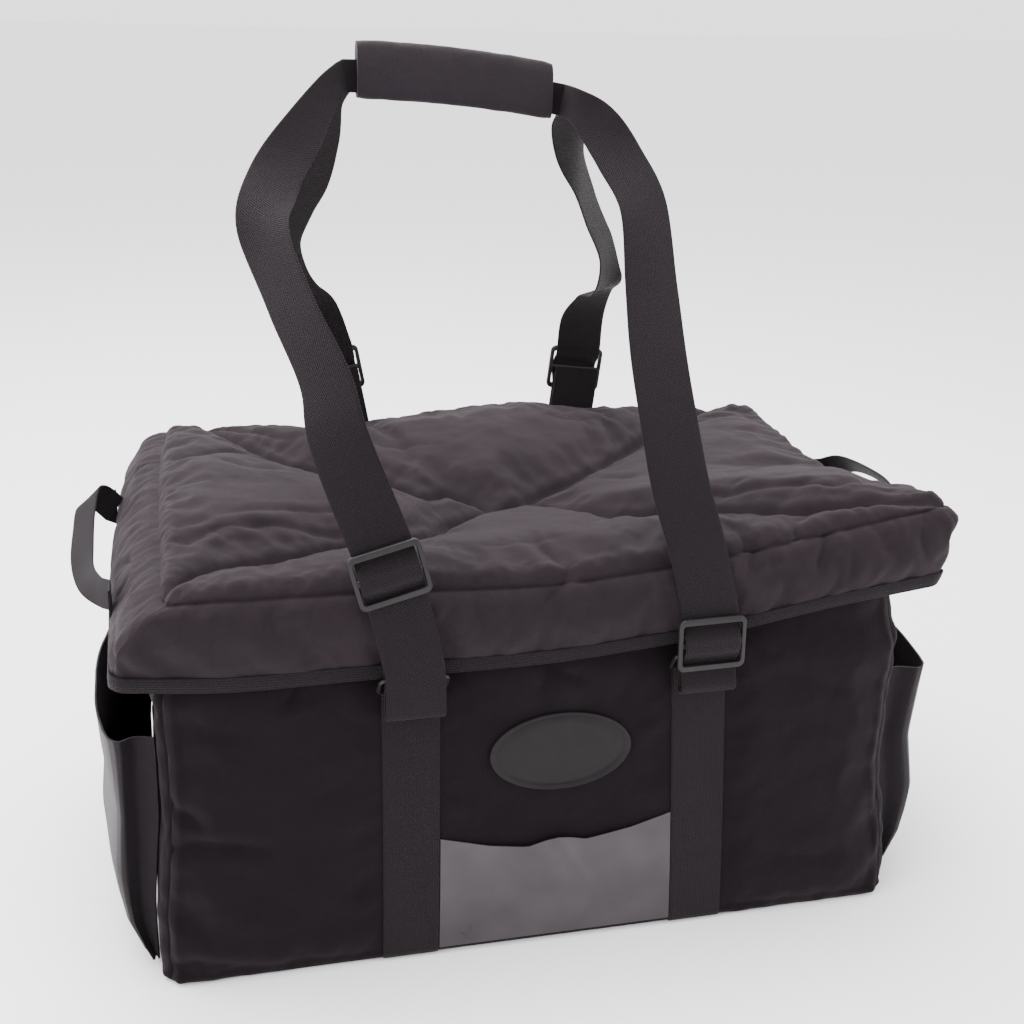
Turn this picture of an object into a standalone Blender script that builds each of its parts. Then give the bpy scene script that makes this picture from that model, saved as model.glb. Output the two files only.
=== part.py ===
"""Insulated catering bag: padded box body, padded lid, webbing straps, buckles and pockets.

Metres, +Z up. The origin is the middle of the base, the front faces -Y.
"""
import math

import bmesh
import bpy
from mathutils import Vector

for old_object in list(bpy.data.objects):
    bpy.data.objects.remove(old_object, do_unlink=True)

# Body and lid
LENGTH = 0.634
DEPTH = 0.400
SEAM_HEIGHT = 0.335
PADDING = 0.012
CORNER_RADIUS = 0.030
BASE_ROUND = 0.007
HEADROOM = 0.006
SKIRT_DROP = 0.068
SKIRT_WALL = 0.010
LID_SAG = 0.028
LID_PUFF = 0.014
BINDING_WIDTH = 0.011
BINDING_THICKNESS = 0.0012
EDGE_BLEND_POWER = 1.6
PANEL_RISE_POWER = 1.5
PUFF_POWER = 0.6

# Webbing
WEBBING_WIDTH = 0.046
WEBBING_THICKNESS = 0.002
WEBBING_SINK = 0.0005
LEFT_WEBBING_X = -0.120
RIGHT_WEBBING_X = 0.128
RIGHT_WEBBING_LEAN = -0.012
BACK_LEFT_SHIFT = 0.020
RING_DROP = 0.016
TAB_LENGTH = 0.022

# Rings and buckles
RING_WIRE = 0.0035
RING_CORNER = 0.004
RING_RISE = 0.0165
SIDE_PLAY = 0.0012
BUCKLE_HEIGHT = 0.045
BUCKLE_BAR = 0.0055
BUCKLE_SIDE = 0.004
BUCKLE_THICKNESS = 0.004
BUCKLE_CENTRE_BAR = 0.005
BUCKLE_CORNER = 0.006
BUCKLE_EDGE = 0.0008
BUCKLE_WINDOW_CORNER = 0.002
WEAVE_MARGIN = 0.1
SLACK_RADIUS = 0.005
SLACK_DROP = 0.010

# Carrying handle
WRAP_LENGTH = 0.160
WRAP_TALL = 0.045
WRAP_THICK = 0.019
WRAP_X = -0.048
WRAP_Z = 0.686
WRAP_SLOPE = -0.095
WRAP_ARCH = 0.003
WRAP_CORNER = 0.009
SLOT_CORNER = 0.0006
GATHERED_LEAN = 0.1
GATHERED_SHARE = 0.55
GATHERED_DROP = 0.005
REACH_X = 0.220
REACH_Y = 0.215
RISE = 0.690

# Side handles
SIDE_WEBBING_WIDTH = 0.025
SIDE_HANDLE_LENGTH = 0.200
SIDE_HANDLE_REACH = 0.024
SIDE_HANDLE_RISE = 0.030
SIDE_HANDLE_Y = -0.020
SIDE_HANDLE_Z = 0.309
SIDE_HANDLE_TAB = 0.022
SIDE_HANDLE_TILT = (0.75, 0.66)

# Pockets and patch
CLOTH = 0.002
POCKET_WIDTH = 0.326
POCKET_HEIGHT = 0.205
LEFT_POCKET_DEPTH = 0.036
RIGHT_POCKET_DEPTH = 0.048
POCKET_LIFT = 0.004
WINDOW_HEIGHT = 0.112
WINDOW_THICKNESS = 0.001
WINDOW_SLACK = 0.003
PATCH_LENGTH = 0.118
PATCH_WIDTH = 0.068
PATCH_THICKNESS = 0.0025
PATCH_RIM = 0.0008
PATCH_SHARES = (0.955, 0.93, 0.50)
PATCH_X = 0.002
PATCH_Z = 0.180

# Space left between touching pieces
GAP = 0.0003

HALF_LENGTH = LENGTH / 2
HALF_DEPTH = DEPTH / 2

# Body sections: height as a share of the body's height, sides as shares of half the length or depth
BODY_SECTIONS = (
    # height, left, right, front, back
    (0.00, 1.010, 0.985, 0.995, 0.990),
    (0.20, 1.008, 0.968, 1.005, 1.000),
    (0.44, 0.986, 0.930, 1.002, 1.005),
    (0.62, 0.984, 0.938, 0.996, 1.000),
    (0.79, 0.990, 0.945, 0.990, 0.980),
    (0.87, 0.972, 0.932, 0.965, 0.960),
    (1.00, 0.950, 0.915, 0.955, 0.950),
)

# Lid skirt sections: drop as a share of the skirt, sides as shares of half the length or depth
SKIRT_SECTIONS = (
    # drop, left, right, front, back
    (0.00, 0.955, 1.020, 1.032, 1.020),
    (0.22, 1.015, 1.040, 1.058, 1.046),
    (0.60, 1.068, 1.030, 1.058, 1.052),
    (1.00, 1.080, 1.000, 1.034, 1.038),
)

# Lid edge along its length: heights as shares of the seam's height, drop as a share of the skirt's
LID_EDGE = (
    # along, front, back, drop, flare
    (-1.00, 0.998, 1.040, 0.95, 0.00),
    (-0.75, 0.995, 1.020, 1.05, 0.00),
    (-0.50, 0.992, 1.000, 1.03, 0.00),
    (-0.05, 0.978, 1.035, 0.95, 0.00),
    (0.20, 0.995, 1.045, 0.95, 0.00),
    (0.42, 1.020, 1.025, 0.96, 0.00),
    (0.70, 1.065, 1.020, 0.90, 0.04),
    (1.00, 1.115, 1.020, 0.98, 0.03),
)

# Lid ends from front to back: shares of the ends' distances, and the dip of the right end's height
LID_ENDS = (
    # along, left, right, dip
    (-1.00, 1.000, 1.000, 0.000),
    (-0.60, 1.000, 0.985, 0.030),
    (-0.10, 1.000, 0.978, 0.060),
    (0.50, 0.985, 0.980, 0.030),
    (1.00, 0.960, 1.000, 0.000),
)

# Rings of the lid's top panel, as shares of its outline
PANEL_RINGS = (0.12, 0.30, 0.50, 0.70, 0.86, 0.95)
PANEL_LINING_RINGS = (0.93, 0.70, 0.45, 0.20)

# Side pocket in plan: along as a share of half its width, out as a share of its depth
POCKET_PLAN = (
    # along, out
    (-1.000, 0.00),
    (-0.960, 0.38),
    (-1.020, 0.72),
    (-0.975, 0.98),
    (-0.760, 1.08),
    (-0.500, 1.20),
    (-0.200, 1.28),
    (0.100, 1.16),
    (0.400, 0.96),
    (0.700, 0.82),
    (0.950, 0.72),
    (1.000, 0.45),
    (0.960, 0.22),
    (1.000, 0.00),
)

# Side pocket in height: how far each level stands out, as a share of its depth
POCKET_LEVELS = (
    # height, out
    (0.00, 0.12),
    (0.06, 0.34),
    (0.18, 0.66),
    (0.40, 0.92),
    (0.70, 0.96),
    (1.00, 1.04),
)

# Top edge of the clear pocket: across as a share of its width, height as a share of its height
WINDOW_EDGE = (
    # across, height
    (0.00, 0.99),
    (0.20, 0.90),
    (0.37, 0.86),
    (0.50, 0.92),
    (0.62, 0.87),
    (0.82, 0.92),
    (1.00, 1.00),
)

# Ends of the carrying straps: side is -1 at the front and 1 at the back
STRAP_ENDS = {
    # name: webbing, side, buckle height, lean
    "front_left": ("left", -1, 0.351, -0.28),
    "front_right": ("right", -1, 0.274, -0.04),
    "back_left": ("left", 1, 0.394, -0.20),
    "back_right": ("right", 1, 0.388, 0.12),
}

# Free runs of the carrying straps, upwards: x, y and z as shares of REACH_X, REACH_Y and RISE,
# then the direction across the strap and the share of its width that shows
STRAP_RUNS = {
    "front_left": (
        (-0.782, -0.930, 0.648, (0.90, -0.38, 0.22), 1.00),
        (-0.815, -0.830, 0.707, (0.72, -0.64, 0.27), 1.00),
        (-0.905, -0.680, 0.778, (0.62, -0.76, 0.15), 1.00),
        (-0.968, -0.500, 0.848, (0.55, -0.80, -0.20), 1.00),
        (-0.915, -0.330, 0.895, (0.52, -0.62, -0.55), 0.90),
        (-0.795, -0.200, 0.944, (0.45, -0.20, -0.85), 0.75),
        (-0.695, -0.085, 0.982, (0.25, 0.00, -0.97), 0.60),
    ),
    "front_right": (
        (0.468, -0.990, 0.507, (0.98, 0.00, 0.15), 1.00),
        (0.418, -0.920, 0.572, (0.98, -0.05, 0.15), 1.00),
        (0.395, -0.820, 0.640, (0.98, 0.00, 0.12), 1.00),
        (0.386, -0.690, 0.710, (0.98, 0.05, 0.10), 1.00),
        (0.398, -0.540, 0.780, (0.93, 0.25, 0.15), 1.00),
        (0.405, -0.385, 0.862, (0.75, 0.50, 0.40), 1.00),
        (0.350, -0.255, 0.912, (0.55, 0.50, 0.65), 0.92),
        (0.285, -0.160, 0.950, (0.45, 0.15, 0.85), 0.75),
        (0.222, -0.085, 0.968, (0.10, 0.00, 1.00), 0.60),
    ),
    "back_left": (
        (-0.645, 0.962, 0.662, (0.95, 0.00, 0.30), 1.00),
        (-0.735, 0.870, 0.692, (0.92, 0.10, 0.30), 1.00),
        (-0.795, 0.755, 0.726, (0.92, 0.20, 0.30), 1.00),
        (-0.835, 0.620, 0.775, (0.94, 0.05, 0.20), 1.00),
        (-0.800, 0.480, 0.828, (0.93, -0.15, 0.05), 1.00),
        (-0.745, 0.340, 0.877, (0.90, -0.25, -0.20), 1.00),
        (-0.700, 0.200, 0.930, (0.70, 0.00, -0.70), 0.82),
        (-0.672, 0.095, 0.974, (0.40, 0.06, -0.92), 0.62),
    ),
    "back_right": (
        (0.592, 0.960, 0.645, (0.98, 0.08, 0.00), 1.00),
        (0.612, 0.860, 0.685, (0.86, 0.46, 0.00), 1.00),
        (0.628, 0.740, 0.708, (0.70, 0.70, 0.05), 1.00),
        (0.582, 0.620, 0.762, (0.50, 0.82, 0.15), 1.00),
        (0.468, 0.480, 0.822, (0.42, 0.80, 0.35), 1.00),
        (0.366, 0.325, 0.874, (0.40, 0.70, 0.50), 0.95),
        (0.282, 0.200, 0.918, (0.50, 0.10, 0.75), 0.80),
        (0.212, 0.095, 0.962, (0.20, -0.06, 1.00), 0.62),
    ),
}

# Middle of a side handle from its front tab to its back tab: along as a share of half its length,
# out and up as shares of its reach and rise, and the share of its full tilt
SIDE_HANDLE_RUNS = {
    # along, out, up, tilt
    "left": (
        (-1.00, 0.00, 0.00, 0.00),
        (-0.84, 0.36, -0.10, 0.15),
        (-0.55, 0.82, -0.08, 0.60),
        (-0.15, 1.00, 0.10, 1.00),
        (0.35, 1.00, 0.42, 1.00),
        (0.72, 0.88, 0.70, 1.00),
        (0.92, 0.50, 0.50, 0.55),
        (1.00, 0.00, 0.00, 0.00),
    ),
    "right": (
        (-1.00, 0.00, 0.00, 0.00),
        (-0.84, 0.50, 0.22, 0.20),
        (-0.58, 0.86, 0.90, 0.70),
        (-0.10, 1.00, 1.00, 1.00),
        (0.45, 0.96, 0.80, 1.00),
        (0.80, 0.70, 0.25, 0.50),
        (1.00, 0.00, 0.00, 0.00),
    ),
}

# Places of the straps inside the wrap and just past its ends, as shares of half its length
WRAP_STATIONS = (-1.12, -1.03, -0.5, 0.0, 0.5, 1.03, 1.12)

# Points around the outline of the body and lid
CORNER_STEPS = 4
LONG_STEPS = 13
SHORT_STEPS = 8

# Points along curves, folds and rounds
SPLINE_STEPS = 4
FOLD_STEPS = 6
RUN_STEPS = 4
WEAVE_STEPS = 16
ROUND_STEPS = 3
WRAP_ROUND_STEPS = 4
WIRE_STEPS = 8
PATCH_STEPS = 28
WINDOW_COLUMNS = 12
WINDOW_TOP_ROWS = 3


def lookup(table, position, column):
    """Value of a table's column at a position in its first column, blended between rows."""
    for low, high in zip(table, table[1:]):
        if position <= high[0]:
            share = max(0.0, (position - low[0]) / (high[0] - low[0]))
            return low[column] + (high[column] - low[column]) * share
    return table[-1][column]


def material(name, color, roughness):
    """Plain Principled material."""
    result = bpy.data.materials.new(name)
    result.use_nodes = True
    shader = result.node_tree.nodes["Principled BSDF"]
    shader.inputs["Base Color"].default_value = (*color, 1.0)
    shader.inputs["Roughness"].default_value = roughness
    return result


def add_object(name, mesh_builder, finish, smooth_angle=40.0):
    """Turn a bmesh into a named object with outward normals and its own material."""
    bmesh.ops.recalc_face_normals(mesh_builder, faces=mesh_builder.faces)
    mesh = bpy.data.meshes.new(name)
    mesh_builder.to_mesh(mesh)
    mesh_builder.free()
    mesh.shade_smooth()
    mesh.set_sharp_from_angle(angle=math.radians(smooth_angle))
    mesh.materials.append(finish)
    result = bpy.data.objects.new(name, mesh)
    bpy.context.scene.collection.objects.link(result)
    return result


def skin(rings, closed=False):
    """Surface through rings of points: capped at both ends, or joined end to end."""
    builder = bmesh.new()
    rows = [[builder.verts.new(point) for point in ring] for ring in rings]
    pairs = list(zip(rows, rows[1:]))
    if closed:
        pairs.append((rows[-1], rows[0]))
    for low, high in pairs:
        count = len(low)
        for index in range(count):
            following = (index + 1) % count
            builder.faces.new((low[index], low[following], high[following], high[index]))
    if not closed:
        builder.faces.new(rows[0])
        builder.faces.new(rows[-1])
    return builder


def shell(outer, inner):
    """Closed sheet between two grids of points with the same rows and columns."""
    builder = bmesh.new()
    front = [[builder.verts.new(point) for point in row] for row in outer]
    back = [[builder.verts.new(point) for point in row] for row in inner]
    rows = len(front)
    columns = len(front[0])
    for grid in (front, back):
        for row in range(rows - 1):
            for column in range(columns - 1):
                builder.faces.new((grid[row][column], grid[row][column + 1],
                                   grid[row + 1][column + 1], grid[row + 1][column]))
    border = [(0, column) for column in range(columns)]
    border += [(row, columns - 1) for row in range(1, rows)]
    border += [(rows - 1, column) for column in range(columns - 2, -1, -1)]
    border += [(row, 0) for row in range(rows - 2, 0, -1)]
    for (row_a, column_a), (row_b, column_b) in zip(border, border[1:] + border[:1]):
        builder.faces.new((front[row_a][column_a], front[row_b][column_b],
                           back[row_b][column_b], back[row_a][column_a]))
    return builder


def ribbon(frames, thickness, play=0.0):
    """Flat band along frames of (centre, direction across, width)."""
    rings = []
    for index, (centre, across, width) in enumerate(frames):
        before = frames[max(index - 1, 0)][0]
        after = frames[min(index + 1, len(frames) - 1)][0]
        along = (after - before).normalized()
        side = (across - along * across.dot(along)).normalized()
        face = along.cross(side)
        half_width = side * (width / 2 + play)
        half_thickness = face * (thickness / 2 + play)
        rings.append((centre - half_width - half_thickness, centre + half_width - half_thickness,
                      centre + half_width + half_thickness, centre - half_width + half_thickness))
    return skin(rings)


def smooth_frames(frames):
    """Frames read from a smooth curve through the given ones."""
    result = []
    last = len(frames) - 1
    for index in range(last):
        group = [frames[max(index - 1, 0)], frames[index],
                 frames[index + 1], frames[min(index + 2, last)]]
        for step in range(SPLINE_STEPS):
            share = step / SPLINE_STEPS
            weights = (-0.5 * share + share ** 2 - 0.5 * share ** 3,
                       1 - 2.5 * share ** 2 + 1.5 * share ** 3,
                       0.5 * share + 2 * share ** 2 - 1.5 * share ** 3,
                       -0.5 * share ** 2 + 0.5 * share ** 3)
            centre = sum((weight * frame[0] for weight, frame in zip(weights, group)), Vector())
            across = sum((weight * frame[1] for weight, frame in zip(weights, group)), Vector())
            width = sum(weight * frame[2] for weight, frame in zip(weights, group))
            result.append((centre, across.normalized(), width))
    result.append(frames[last])
    return result


def outline_points():
    """Rounded rectangle, anticlockwise, with each side at a distance of one."""
    corner_x = CORNER_RADIUS / HALF_LENGTH
    corner_y = CORNER_RADIUS / HALF_DEPTH
    points = []
    corners = ((1, -1, -90, SHORT_STEPS), (1, 1, 0, LONG_STEPS),
               (-1, 1, 90, SHORT_STEPS), (-1, -1, 180, LONG_STEPS))
    for sign_x, sign_y, start, steps in corners:
        for step in range(CORNER_STEPS + 1):
            angle = math.radians(start + 90 * step / CORNER_STEPS)
            points.append(Vector((sign_x * (1 - corner_x) + corner_x * math.cos(angle),
                                  sign_y * (1 - corner_y) + corner_y * math.sin(angle))))
        first = points[-1]
        turn = math.radians(start + 90)
        direction = Vector((-math.sin(turn), math.cos(turn)))
        if abs(direction.x) > 0.5:
            run = direction * 2 * (1 - corner_x)
        else:
            run = direction * 2 * (1 - corner_y)
        for step in range(1, steps):
            points.append(first + run * step / steps)
    return points


OUTLINE = outline_points()


def place(point, sides, height):
    """Point of the unit outline moved to the given sides (left, right, front, back)."""
    left, right, front, back = sides
    x = point.x * (right if point.x > 0 else left)
    y = point.y * (back if point.y > 0 else front)
    return Vector((x, y, height))


# Body
BODY_HEIGHT = SEAM_HEIGHT * min(row[1] for row in LID_EDGE) - PADDING - HEADROOM
HEM_HEIGHT = min(SEAM_HEIGHT * row[1] - SKIRT_DROP * row[3] for row in LID_EDGE)
RING_HEIGHT = HEM_HEIGHT - RING_DROP


def body_sides(height, inset=0.0):
    """Distances of the body's left, right, front and back walls at a height."""
    share = height / BODY_HEIGHT
    halves = (HALF_LENGTH, HALF_LENGTH, HALF_DEPTH, HALF_DEPTH)
    return [half * lookup(BODY_SECTIONS, share, column) - inset
            for column, half in enumerate(halves, start=1)]


def body_ring(height, inset=0.0):
    """Ring of the body's wall at a height."""
    sides = body_sides(height, inset)
    return [place(point, sides, height) for point in OUTLINE]


def build_body(finish):
    """Padded open box with rounded lower edges."""
    rings = []
    for step in range(ROUND_STEPS + 1):
        angle = math.radians(90 * step / ROUND_STEPS)
        height = BASE_ROUND * (1 - math.cos(angle))
        rings.append(body_ring(height, BASE_ROUND * (1 - math.sin(angle))))
    heights = [row[0] * BODY_HEIGHT for row in BODY_SECTIONS if row[0] * BODY_HEIGHT > BASE_ROUND]
    rings += [body_ring(height) for height in heights]
    rings += [body_ring(height, PADDING) for height in reversed(heights)]
    rings.append(body_ring(PADDING, PADDING + BASE_ROUND))
    return add_object("body", skin(rings), finish)


def webbing_x(webbing, side, height):
    """Middle of a sewn webbing at a height on the front or back wall."""
    if webbing == "right":
        return RIGHT_WEBBING_X + RIGHT_WEBBING_LEAN * height / RING_HEIGHT
    if side > 0:
        return LEFT_WEBBING_X + BACK_LEFT_SHIFT
    return LEFT_WEBBING_X


def wall_distance(side, height):
    """Distance of the middle of a sewn webbing from the bag's middle plane."""
    wall = body_sides(height)[2 if side < 0 else 3]
    return wall + GAP + WEBBING_THICKNESS / 2 - WEBBING_SINK


def ring_bar_distance(side):
    """Distance of a ring's lower bar from the bag's middle plane."""
    return wall_distance(side, RING_HEIGHT) + WEBBING_THICKNESS / 2 + GAP + RING_WIRE / 2


def webbing_half(webbing, side):
    """Frames from the sewn tab over the ring's bar and down the wall to the base."""
    across = Vector((1, 0, 0))
    bar = ring_bar_distance(side)
    turn = RING_WIRE / 2 + GAP + WEBBING_THICKNESS / 2
    stations = [(bar + turn, RING_HEIGHT - TAB_LENGTH), (bar + turn, RING_HEIGHT - TAB_LENGTH / 2)]
    for step in range(FOLD_STEPS + 1):
        angle = math.radians(180 * step / FOLD_STEPS)
        stations.append((bar + turn * math.cos(angle), RING_HEIGHT + turn * math.sin(angle)))
    round_top = BASE_ROUND + WEBBING_THICKNESS / 2
    levels = [row[0] * BODY_HEIGHT for row in BODY_SECTIONS]
    levels = [level for level in levels if round_top + BASE_ROUND < level < RING_HEIGHT - TAB_LENGTH]
    for level in reversed(levels):
        stations.append((wall_distance(side, level), level))
    corner = wall_distance(side, round_top) - BASE_ROUND
    for step in range(RUN_STEPS + 1):
        angle = math.radians(90 * step / RUN_STEPS)
        stations.append((corner + BASE_ROUND * math.cos(angle),
                         round_top - BASE_ROUND * math.sin(angle)))
    return [(Vector((webbing_x(webbing, side, height), side * distance, height)), across,
             WEBBING_WIDTH)
            for distance, height in stations]


def webbing_frames(webbing):
    """Frames of one webbing from the front ring under the base to the back ring."""
    return webbing_half(webbing, -1) + webbing_half(webbing, 1)[::-1]


def build_webbing(webbing, finish, body):
    """Webbing sewn into the padding, which it dents by WEBBING_SINK."""
    frames = webbing_frames(webbing)
    add_object("webbing_" + webbing, ribbon(frames, WEBBING_THICKNESS), finish)
    cutter = add_object("groove_" + webbing, ribbon(frames, WEBBING_THICKNESS, GAP), finish)
    cutter.hide_render = True
    cutter.display_type = "WIRE"
    groove = body.modifiers.new("groove_" + webbing, "BOOLEAN")
    groove.operation = "DIFFERENCE"
    groove.object = cutter


# Lid
BINDING_TOP = 1 - BINDING_WIDTH / SKIRT_DROP


def edge_height(point):
    """Height of the seam between the lid's top panel and skirt at a point of the outline."""
    front = lookup(LID_EDGE, point.x, 1)
    back = lookup(LID_EDGE, point.x, 2)
    blend = ((1 - point.y) / 2) ** EDGE_BLEND_POWER
    dip = lookup(LID_ENDS, point.y, 3) * max(0.0, point.x) ** 2
    return SEAM_HEIGHT * (back + (front - back) * blend - dip)


def panel_height(point, share):
    """Height of the top panel: four puffed triangles between creases that meet in the middle."""
    middle = SEAM_HEIGHT - LID_SAG
    rise = 1 - (1 - share) ** PANEL_RISE_POWER
    reach = (abs(point.x), abs(point.y))
    off_crease = 1 - min(reach) / max(reach)
    puff = LID_PUFF * (off_crease * max(0.0, math.sin(math.pi * share))) ** PUFF_POWER
    return middle + (edge_height(point) - middle) * rise + puff


def skirt_sides(point, drop, inset=0.0):
    """Distances of the skirt's sides at a share of its drop."""
    flare = 1 + lookup(LID_EDGE, point.x, 4) * drop
    left_end = HALF_LENGTH * lookup(LID_ENDS, point.y, 1)
    right_end = HALF_LENGTH * lookup(LID_ENDS, point.y, 2)
    halves = (left_end, right_end, HALF_DEPTH * flare, HALF_DEPTH)
    return [half * lookup(SKIRT_SECTIONS, drop, column) - inset
            for column, half in enumerate(halves, start=1)]


def skirt_point(point, drop, inset=0.0, lower=0.0):
    """Point of the lid's skirt at a share of its drop."""
    fall = SKIRT_DROP * lookup(LID_EDGE, point.x, 3) * drop
    return place(point, skirt_sides(point, drop, inset), edge_height(point) - fall - lower)


def panel_point(point, share, lower=0.0):
    """Point of the lid's top panel at a share of its outline."""
    sides = [side * share for side in skirt_sides(point, 0.0)]
    return place(point, sides, panel_height(point, share) - lower)


def build_lid(finish):
    """Padded top panel and skirt in one closed shell, open below."""
    drops = sorted([row[0] for row in SKIRT_SECTIONS] + [BINDING_TOP])
    rings = [[panel_point(point, share) for point in OUTLINE] for share in PANEL_RINGS]
    rings += [[skirt_point(point, drop) for point in OUTLINE] for drop in drops]
    rings += [[skirt_point(point, drop, SKIRT_WALL) for point in OUTLINE]
              for drop in reversed(drops[1:])]
    rings += [[panel_point(point, share, PADDING) for point in OUTLINE]
              for share in PANEL_LINING_RINGS]
    return add_object("lid", skin(rings), finish)


def build_binding(finish):
    """Tape folded over the hem of the skirt."""
    beside = 2 * GAP
    outside = -(beside + BINDING_THICKNESS)
    under = 3 * GAP
    rings = [
        [skirt_point(point, BINDING_TOP, outside) for point in OUTLINE],
        [skirt_point(point, 1.0, outside, under + BINDING_THICKNESS) for point in OUTLINE],
        [skirt_point(point, 1.0, SKIRT_WALL, under + BINDING_THICKNESS) for point in OUTLINE],
        [skirt_point(point, 1.0, SKIRT_WALL, under) for point in OUTLINE],
        [skirt_point(point, 1.0, -beside, under) for point in OUTLINE],
        [skirt_point(point, BINDING_TOP, -beside) for point in OUTLINE],
    ]
    return add_object("lid_binding", skin(rings, closed=True), finish)


# Carrying straps
LID_FACE = max(row[3] for row in SKIRT_SECTIONS) * HALF_DEPTH
TUCKED_DISTANCE = LID_FACE + GAP + WEBBING_THICKNESS / 2
RING_TOP_DISTANCE = TUCKED_DISTANCE + WEBBING_THICKNESS / 2 + GAP + RING_WIRE / 2
OUTER_DISTANCE = RING_TOP_DISTANCE + RING_WIRE / 2 + 2 * GAP + WEBBING_THICKNESS / 2
WEAVE = (BUCKLE_THICKNESS + WEBBING_THICKNESS) / 2 + 2 * GAP
BUCKLE_DISTANCE = OUTER_DISTANCE + WEAVE
BUCKLE_WINDOW = (BUCKLE_HEIGHT - BUCKLE_CENTRE_BAR) / 2 - BUCKLE_BAR


def strap_x(end, height):
    """Middle of a strap between its ring and just above its buckle."""
    webbing, side, _buckle_z, lean = STRAP_ENDS[end]
    above = max(0.0, height - RING_HEIGHT - RING_RISE)
    return webbing_x(webbing, side, RING_HEIGHT) + lean * above ** 2 / (above + WEBBING_WIDTH / 2)


def strap_lean(end, height):
    """Sideways run of a strap for each metre of height, near its buckle."""
    step = WEBBING_WIDTH / 4
    return (strap_x(end, height + step) - strap_x(end, height - step)) / (2 * step)


def weave_offset(distance):
    """How far the strap stands in front of its plane at a distance from the buckle's middle."""
    start = BUCKLE_CENTRE_BAR / 2 + BUCKLE_WINDOW * (1 - WEAVE_MARGIN)
    finish = BUCKLE_CENTRE_BAR / 2 + BUCKLE_WINDOW * WEAVE_MARGIN
    share = min(1.0, max(0.0, (start - abs(distance)) / (start - finish)))
    return 2 * WEAVE * share * share * (3 - 2 * share)


def strap_end_frames(end):
    """Frames from the tucked end, through the ring and the buckle, to just above the buckle."""
    _webbing, side, buckle_z, _lean = STRAP_ENDS[end]
    fold_z = RING_HEIGHT - SLACK_DROP
    stations = []
    tucked_top = buckle_z + BUCKLE_CENTRE_BAR / 2
    for step in range(RUN_STEPS + 1):
        share = step / RUN_STEPS
        stations.append((TUCKED_DISTANCE, tucked_top + (fold_z - tucked_top) * share))
    for step in range(1, FOLD_STEPS + 1):
        angle = math.radians(180 * step / FOLD_STEPS)
        stations.append((TUCKED_DISTANCE + SLACK_RADIUS * (1 - math.cos(angle)),
                         fold_z - SLACK_RADIUS * math.sin(angle)))
    buckle_bottom = buckle_z - BUCKLE_HEIGHT / 2
    loop_distance = TUCKED_DISTANCE + 2 * SLACK_RADIUS
    for step in range(1, RUN_STEPS + 1):
        share = step / RUN_STEPS
        ease = share * share * (3 - 2 * share)
        stations.append((loop_distance + (OUTER_DISTANCE - loop_distance) * ease,
                         fold_z + (buckle_bottom - fold_z) * share))
    for step in range(1, WEAVE_STEPS + 1):
        distance = BUCKLE_HEIGHT * (step / WEAVE_STEPS - 0.5)
        stations.append((OUTER_DISTANCE + weave_offset(distance), buckle_z + distance))
    return [(Vector((strap_x(end, height), side * distance, height)),
             Vector((1, 0, -strap_lean(end, height))).normalized(), WEBBING_WIDTH)
            for distance, height in stations]


def wrap_point(along, side):
    """Middle of a strap inside the handle wrap, along from -1 to 1."""
    x = WRAP_X + along * WRAP_LENGTH / 2
    z = WRAP_Z + WRAP_SLOPE * along * WRAP_LENGTH / 2 + WRAP_ARCH * (1 - along * along)
    return Vector((x, side * (WEBBING_THICKNESS / 2 + 2 * GAP), z - GATHERED_DROP))


def strap_run(end):
    """Station frames of a strap's free run, upwards."""
    frames = []
    for x, y, z, across, share in STRAP_RUNS[end]:
        centre = Vector((x * REACH_X, y * REACH_Y, z * RISE))
        frames.append((centre, Vector(across).normalized(), WEBBING_WIDTH * share))
    return frames


def build_strap(name, side, finish):
    """One long strap from its left ring through the handle wrap to its right ring."""
    left = name + "_left"
    right = name + "_right"
    left_end = strap_end_frames(left)
    right_end = strap_end_frames(right)
    gathered = WEBBING_WIDTH * GATHERED_SHARE
    inside = []
    for along in WRAP_STATIONS:
        across = Vector((GATHERED_LEAN if along < 0 else -GATHERED_LEAN, 0, -1))
        inside.append((wrap_point(along, side), across.normalized(), gathered))
    right_run = [(centre, -across, width) for centre, across, width in reversed(strap_run(right))]
    right_down = [(centre, -across, width) for centre, across, width in reversed(right_end)]
    left_free = smooth_frames([left_end[-1]] + strap_run(left) + [inside[0]])
    right_free = smooth_frames([inside[-1]] + right_run + [right_down[0]])
    frames = left_end[:-1] + left_free + inside[1:-1] + right_free + right_down[1:]
    return add_object("strap_" + name, ribbon(frames, WEBBING_THICKNESS), finish)


def build_wrap(finish):
    """Padded sleeve round both straps."""
    def ring(along, half_thick, half_tall, corner, rise=0.0):
        centre = wrap_point(along, 0) + Vector((0, 0, rise))
        points = []
        for sign_y, sign_z, start in ((1, 1, 0), (-1, 1, 90), (-1, -1, 180), (1, -1, 270)):
            for step in range(WRAP_ROUND_STEPS + 1):
                angle = math.radians(start + 90 * step / WRAP_ROUND_STEPS)
                y = sign_y * (half_thick - corner) + corner * math.cos(angle)
                z = sign_z * (half_tall - corner) + corner * math.sin(angle)
                points.append(centre + Vector((0, y, z)))
        return points

    slot_thick = WEBBING_THICKNESS + 4 * GAP
    slot_tall = WEBBING_WIDTH * GATHERED_SHARE / 2 + 2 * GAP
    stations = (-1.0, -0.5, 0.0, 0.5, 1.0)
    outer = [ring(along, WRAP_THICK / 2, WRAP_TALL / 2, WRAP_CORNER, GATHERED_DROP)
             for along in stations]
    inner = [ring(along, slot_thick, slot_tall, SLOT_CORNER) for along in reversed(stations)]
    return add_object("handle_wrap", skin(outer + inner, closed=True), finish)


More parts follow.
